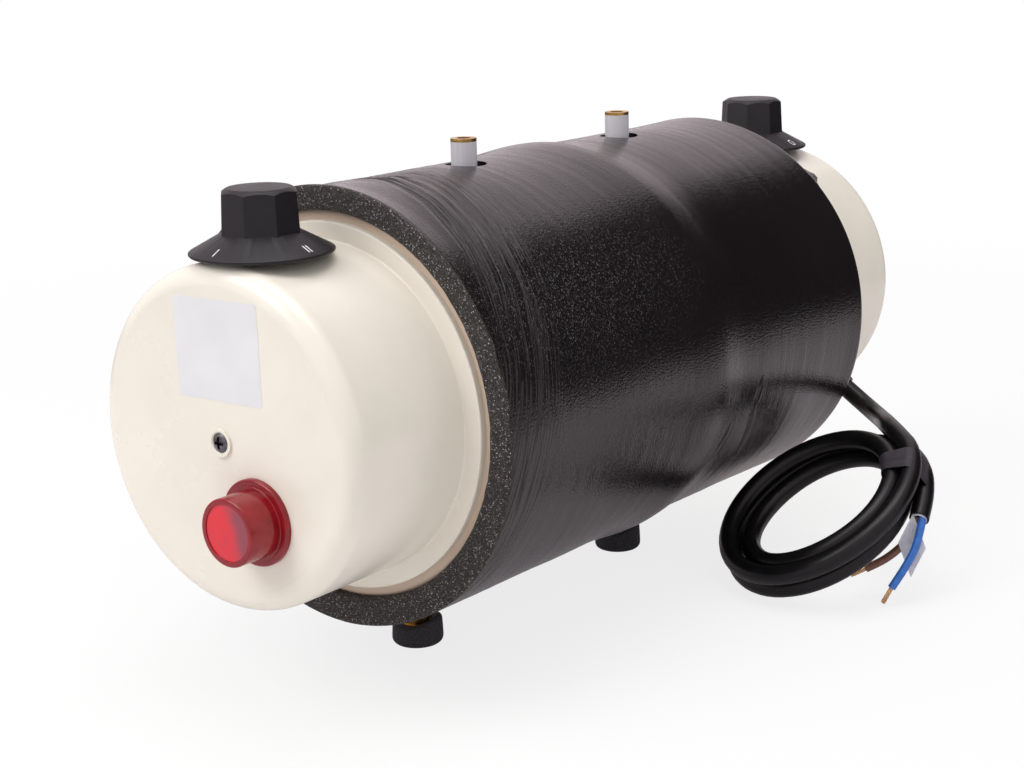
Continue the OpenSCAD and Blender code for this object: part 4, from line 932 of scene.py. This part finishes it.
            at_end = self.from_end(c.y) < self.END_NEAR and abs(face.normal.y) > 0.3
            face.material_index = 1 if at_end or inside else 0
        return {"FINISHED"}


class HEATER_OT_feet(bpy.types.Operator):
    """Rubber feet: a rounded cup that holds the pillar's washer, with a hole for the fixing screw"""
    bl_idname = "heater.feet"
    bl_label = "Feet"
    # radii and depths, and the edges' roundings, in millimetres
    DISH_R, DISH, SOCKET_R, SOLE, HOLE_R = 6.1, 1.6, 4.15, 4.0, 3.3
    EDGE_ROUNDS = 2.4, 1.5, 0.8
    # the rubber bulges a little under load
    SPREAD = 1.05
    # the soft rim has crept up on the right, away from the boiler's front
    CREEP, CREEP_WAY = 3.0, Vector((0.93, 0.37))

    def execute(self, context):
        rubber = foam_rubber()
        for name in ("front_foot", "rear_foot"):
            low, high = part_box(name)
            axis = Vector(((low[0] + high[0]) / 2, (low[1] + high[1]) / 2))
            foot = self.cup(name + "_rubber", axis, (high[0] - low[0]) / 2 * self.SPREAD, high[2] - low[2])
            dress(foot, [rubber], "boiler", "foot_rubber", name)
        return {"FINISHED"}

    def cup(self, name, axis, r, tall):
        deselect()
        bpy.ops.mesh.primitive_cylinder_add(vertices=72, radius=r, depth=tall, location=(*axis, tall / 2))
        foot = started(name)
        settle(foot)
        edit(foot, "FACE")
        # the dish for the washer, then the socket for the pillar, then the hole through the sole
        pick(foot, lambda f: f.normal.z > 0.9)
        edge_r = r
        for radius, drop in ((self.DISH_R, self.DISH), (self.SOCKET_R, tall / MM - self.DISH - self.SOLE),
                             (self.HOLE_R, 0)):
            bpy.ops.mesh.inset(thickness=edge_r - radius * MM)
            edge_r = radius * MM
            if drop:
                bpy.ops.mesh.extrude_region_move(TRANSFORM_OT_translate={"value": (0, 0, -drop * MM)})
        bpy.ops.mesh.delete(type="FACE")
        pick(foot, lambda f: f.normal.z < -0.9)
        bpy.ops.mesh.inset(thickness=r - self.HOLE_R * MM)
        bpy.ops.mesh.delete(type="FACE")
        bpy.ops.mesh.select_mode(type="EDGE")
        pick(foot, lambda e: e.is_boundary, "edges")
        bpy.ops.mesh.bridge_edge_loops()
        # round the sole's edge, the rim's and the dish's
        for level, radius, width in zip((0, tall, tall), (r, r, self.DISH_R * MM), self.EDGE_ROUNDS):
            pick(foot, lambda e: all(
                abs(v.co.z - level) < 1e-5 and abs((v.co.xy - axis).length - radius) < 1e-5
                for v in e.verts), "edges")
            bpy.ops.mesh.bevel(offset=width * MM, segments=6, affect="EDGES")
        pick(foot, lambda e: abs(e.verts[0].co.z - e.verts[1].co.z) > 0.003 and (
            middle(e).xy - axis).length > r * 0.9, "edges")
        bpy.ops.mesh.subdivide(number_cuts=7)

        def creep(p):
            out = p.xy - axis
            if out.length < r * 0.6:
                return p
            t = p.z / tall
            lean = max(0, out.normalized().dot(self.CREEP_WAY)) ** 1.5
            spread = 1 - 0.06 * max(0, t - 0.4) + 0.06 * MM / r * noise.noise(p * 900)
            rise = lean * self.CREEP * MM * max(0, t - 0.3) / 0.7 * min(1, (out.length / r - 0.6) / 0.15)
            return Vector((*(axis + out * spread), p.z + rise))

        reshape(foot, creep)
        mend(foot)
        return foot


class HEATER_OT_dials(bpy.types.Operator):
    """Dials with rounded moulded edges and printed position marks"""
    bl_idname = "heater.dials"
    bl_label = "Dials"
    # the skirt's fall per millimetre outwards, its edge's radius and height, and the marks' radius
    SLOPE, SKIRT_R, SKIRT_EDGE, MARK_R = 0.546, 24.5, 1.5, 21.4
    # a stroke's length, width and height, and how far each of two lies aside
    STROKE, STROKE_ASIDE = (3.9, 0.45, 0.14), 0.7
    NOUGHT_R, NOUGHT_LINE, NOUGHT_SHAPE = 1.5, 0.24, (1.25, 0.8, 0.3)

    def execute(self, context):
        moulding = dial_moulding(colours().dial)
        ink = printed_white()
        for name, body, turn in (("front_dial", "front_control", 0), ("rear_dial", "rear_control", pi)):
            low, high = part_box(name)
            axis = Vector(((low[0] + high[0]) / 2, (low[1] + high[1]) / 2, low[2]))
            deselect()
            dial = frame["nodes"][name].copy()
            dial.data = frame["nodes"][name].data.copy()
            dial.parent = None
            for key in list(dial.keys()):
                del dial[key]
            context.scene.collection.objects.link(dial)
            dial.name = dial.data.name = name + "_moulding"
            edit(dial)
            bpy.ops.mesh.select_all(action="SELECT")
            bpy.ops.mesh.remove_doubles(threshold=2e-6)
            bpy.ops.mesh.dissolve_limited(angle_limit=radians(0.8))
            modify(dial, "BEVEL", width=sizes().dial_round, segments=3, limit_method="ANGLE",
                   angle_limit=radians(22), use_clamp_overlap=True)
            dress(dial, [moulding], body, "dial_plastic", name, angle=32)
            marks = [self.stroke(axis, turn - pi / 2, 0)]
            marks += [self.stroke(axis, turn, s * self.STROKE_ASIDE) for s in (-1, 1)]
            marks.append(self.ring(axis, turn + pi))
            dress(joined(name + "_marks", marks), [ink], body, "dial_plastic")
        return {"FINISHED"}

    def onto_skirt(self, piece, axis, angle):
        """Lays a flat mark, made in millimetres with x outwards, on the skirt's slope"""
        slope = atan2(self.SLOPE, 1)

        def lay(p):
            r = self.MARK_R + p.x * cos(slope) + p.z * sin(slope)
            rise = (self.SKIRT_R - self.MARK_R) * self.SLOPE
            z = self.SKIRT_EDGE + rise - p.x * sin(slope) + p.z * cos(slope)
            out = Vector((cos(angle), sin(angle), 0))
            across = Vector((-sin(angle), cos(angle), 0))
            sag = r - (r * r - p.y * p.y) ** 0.5
            return axis + (out * (r - sag) + across * p.y + Vector((0, 0, z))) * MM

        reshape(piece, lay)
        mend(piece)
        return piece

    def stroke(self, axis, angle, aside):
        deselect()
        bpy.ops.mesh.primitive_cube_add(size=1, location=(0, aside, 0.02))
        mark = started("stroke")
        mark.scale = self.STROKE
        settle(mark)
        edit(mark, "EDGE")
        pick(mark, lambda e: abs((e.verts[0].co - e.verts[1].co).z) > 0.05, "edges")
        bpy.ops.mesh.bevel(offset=0.2, segments=3, affect="EDGES")
        return self.onto_skirt(mark, axis, angle)

    def ring(self, axis, angle):
        deselect()
        bpy.ops.mesh.primitive_torus_add(
            major_radius=self.NOUGHT_R, minor_radius=self.NOUGHT_LINE, major_segments=40, minor_segments=8)
        mark = started("nought")
        mark.scale = self.NOUGHT_SHAPE
        settle(mark)
        return self.onto_skirt(mark, axis, angle)


class HEATER_OT_lens(bpy.types.Operator):
    """Pilot lamp's lens: a round window in a thick rim, on a flange"""
    bl_idname = "heater.lens"
    bl_label = "Lamp lens"
    # radii and heights from the seat outwards, then the window's rim and depth, in millimetres
    FLANGE_R, FLANGE_T, STEP_R, STEP_T, LENS_R = 15.2, 2.2, 13.2, 0.8, 11.9
    RIM, DISH, SPIGOT_R = 2.1, 0.4, 11.0

    def execute(self, context):
        low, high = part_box("lamp_lens")
        x, z = (low[0] + high[0]) / 2, (low[2] + high[2]) / 2
        seat = FRONT_FACE_Y
        out = seat - low[1]
        deselect()
        bpy.ops.mesh.primitive_cylinder_add(
            vertices=96, radius=self.FLANGE_R * MM, depth=self.FLANGE_T * MM, rotation=(pi / 2, 0, 0),
            location=(x, seat - self.FLANGE_T * MM / 2, z))
        lens = started("lamp_lens_moulding")
        settle(lens)
        edit(lens, "FACE")
        pick(lens, lambda f: f.normal.y < -0.9)
        edge_r = self.FLANGE_R
        for radius, rise in (
                (self.STEP_R, self.STEP_T), (self.LENS_R, out / MM - self.FLANGE_T - self.STEP_T),
                (self.LENS_R - self.RIM, -self.DISH)):
            bpy.ops.mesh.inset(thickness=(edge_r - radius) * MM)
            edge_r = radius
            bpy.ops.mesh.extrude_region_move(TRANSFORM_OT_translate={"value": (0, -rise * MM, 0)})
        pick(lens, lambda f: f.normal.y > 0.9 and f.calc_area() > 4e-4)
        bpy.ops.mesh.inset(thickness=(self.FLANGE_R - self.SPIGOT_R) * MM)
        bpy.ops.mesh.extrude_region_move(TRANSFORM_OT_translate={"value": (0, high[1] - seat, 0)})
        bpy.ops.mesh.select_mode(type="EDGE")
        face = seat - out
        for level, radius, width in (
                (seat - self.FLANGE_T * MM, self.FLANGE_R, 0.7), (face, self.LENS_R, 0.7),
                (face, self.LENS_R - self.RIM, 0.15),
                (seat - (self.FLANGE_T + self.STEP_T) * MM, self.STEP_R, 0.3)):
            pick(lens, lambda e: all(
                abs(v.co.y - level) < 1e-5 and abs(hypot(v.co.x - x, v.co.z - z) - radius * MM) < 1e-5
                for v in e.verts), "edges")
            bpy.ops.mesh.bevel(offset=width * MM, segments=4, affect="EDGES")
        mend(lens)
        red = colours().lens
        dress(lens, [red_acrylic("clear_red_acrylic", tint(red, 0.42)), lens_window(red, (x, face, z))],
              "boiler", "lens_red", "lamp_lens", angle=35)
        window = face + 0.8 * self.DISH * MM
        for side in lens.data.polygons:
            c = side.center
            inner = hypot(c.x - x, c.z - z) < (self.LENS_R - self.RIM) * MM
            side.material_index = 1 if inner and window < c.y < face + 1.2 * self.DISH * MM else 0
        return {"FINISHED"}


class HEATER_OT_plate(bpy.types.Operator):
    """Blank white plate on the front cap"""
    bl_idname = "heater.plate"
    bl_label = "Blank plate"
    # its middle from the axis, thickness, corner radius, how far it sinks into the cap, and its tilt
    AT_X, AT_Z, THICK, CORNER, SINK, TILT = 0.8, 32, 0.14, 0.9, 0.02, radians(0.6)

    def execute(self, context):
        size = sizes()
        deselect()
        bpy.ops.mesh.primitive_plane_add(size=1)
        plate = started("blank_plate")
        plate.scale = (size.label_w, size.label_h, 1)
        settle(plate)
        edit(plate)
        bpy.ops.mesh.select_all(action="SELECT")
        bpy.ops.mesh.bevel(offset=self.CORNER * MM, segments=4, affect="VERTICES")
        bpy.ops.mesh.select_all(action="SELECT")
        bpy.ops.mesh.extrude_region_move(TRANSFORM_OT_translate={"value": (0, 0, self.THICK * MM)})
        c, s = cos(self.TILT), sin(self.TILT)
        reshape(plate, lambda p: Vector((
            self.AT_X * MM + p.x * c - p.y * s, FRONT_FACE_Y - p.z + self.SINK * MM,
            AXIS_Z + self.AT_Z * MM + p.x * s + p.y * c)))
        mend(plate)
        dress(plate, [blank_film()], "boiler", "pipe_plastic", angle=30)
        return {"FINISHED"}


class HEATER_OT_finishes(bpy.types.Operator):
    """Finishes of the CAD nodes that stay in view, and of those inside"""
    bl_idname = "heater.finishes"
    bl_label = "Finishes"

    def execute(self, context):
        paint = colours()
        cream = moulded_abs("satin_cream_abs", paint.cream)
        white = moulded_abs("white_switch_plastic", srgb("#E2E0DA"), 0.45)
        brown = moulded_abs("brown_phenolic", srgb("#4A2F22"), 0.5, 0.2)
        black = moulded_abs("black_nylon", srgb("#232326"), 0.5, 0.2)
        brass = metal("turned_brass", srgb("#E2BD6C"), srgb("#B48C42"), 0.28, (120, 120, 2500))
        steel = metal("zinc_plated_steel", srgb("#B9BDC2"), srgb("#8A8D92"), 0.36, (900, 900, 900))
        sheath = metal("drawn_stainless_tube", srgb("#A6AAAE"), srgb("#7D8084"), 0.3, (900, 90, 900))
        dark = metal("blackened_steel", srgb("#77767A"), srgb("#3F3F43"), 0.3, (900, 900, 900))
        copper = metal("bulb_copper", srgb("#C07F52"), srgb("#8B5534"), 0.34, (900, 200, 900))
        tank = tank_polyethylene(paint.tank)
        rubber = foam_rubber()
        flex = flex_sheath("inner_pvc", paint.flex, 0.35)
        by_slot = {
            "tank_plastic": tank, "pipe_plastic": spout_pipe(), "brass": brass, "heater_steel": sheath,
            "seal_rubber": rubber, "copper": copper, "cap_plastic": cream, "dark_steel": dark,
            "switch_plastic": white, "plated_steel": steel, "dial_plastic": black,
            "lens_red": red_acrylic("red_acrylic", paint.lens), "brown_plastic": brown,
            "flex_pvc": flex, "foot_rubber": rubber, "foam": rubber, "core_blue": flex, "core_brown": flex}
        for part in frame["record"]["subparts"]:
            piece = frame["nodes"][part["node"]]
            piece.data.materials.clear()
            piece.data.materials.append(by_slot[part["material_slot"]])
        return {"FINISHED"}


class HEATER_PT_panel(bpy.types.Panel):
    """Lists the pieces that can be made"""
    bl_idname = "HEATER_PT_panel"
    bl_label = "Water heater"
    bl_space_type = "VIEW_3D"
    bl_region_type = "UI"
    bl_category = "Heater"

    def draw(self, context):
        for group in (context.scene.heater_sizes, context.scene.heater_colours):
            for key in group.__annotations__:
                self.layout.prop(group, key)
        for operator in OPERATORS:
            self.layout.operator(operator.bl_idname)


OPERATORS = (HEATER_OT_stage, HEATER_OT_flex, HEATER_OT_jacket, HEATER_OT_feet, HEATER_OT_dials,
             HEATER_OT_lens, HEATER_OT_plate, HEATER_OT_finishes)
CLASSES = (HeaterSizes, HeaterColours) + OPERATORS + (HEATER_PT_panel,)


def register():
    for cls in CLASSES:
        bpy.utils.register_class(cls)
    bpy.types.Scene.heater_sizes = PointerProperty(type=HeaterSizes)
    bpy.types.Scene.heater_colours = PointerProperty(type=HeaterColours)


def unregister():
    del bpy.types.Scene.heater_colours
    del bpy.types.Scene.heater_sizes
    for cls in reversed(CLASSES):
        bpy.utils.unregister_class(cls)


def main():
    register()
    bpy.ops.heater.stage()
    bpy.ops.heater.flex()
    bpy.ops.heater.jacket()
    bpy.ops.heater.feet()
    bpy.ops.heater.dials()
    bpy.ops.heater.lens()
    bpy.ops.heater.plate()
    bpy.ops.heater.finishes()
    deselect()


if __name__ == "__main__":
    main()
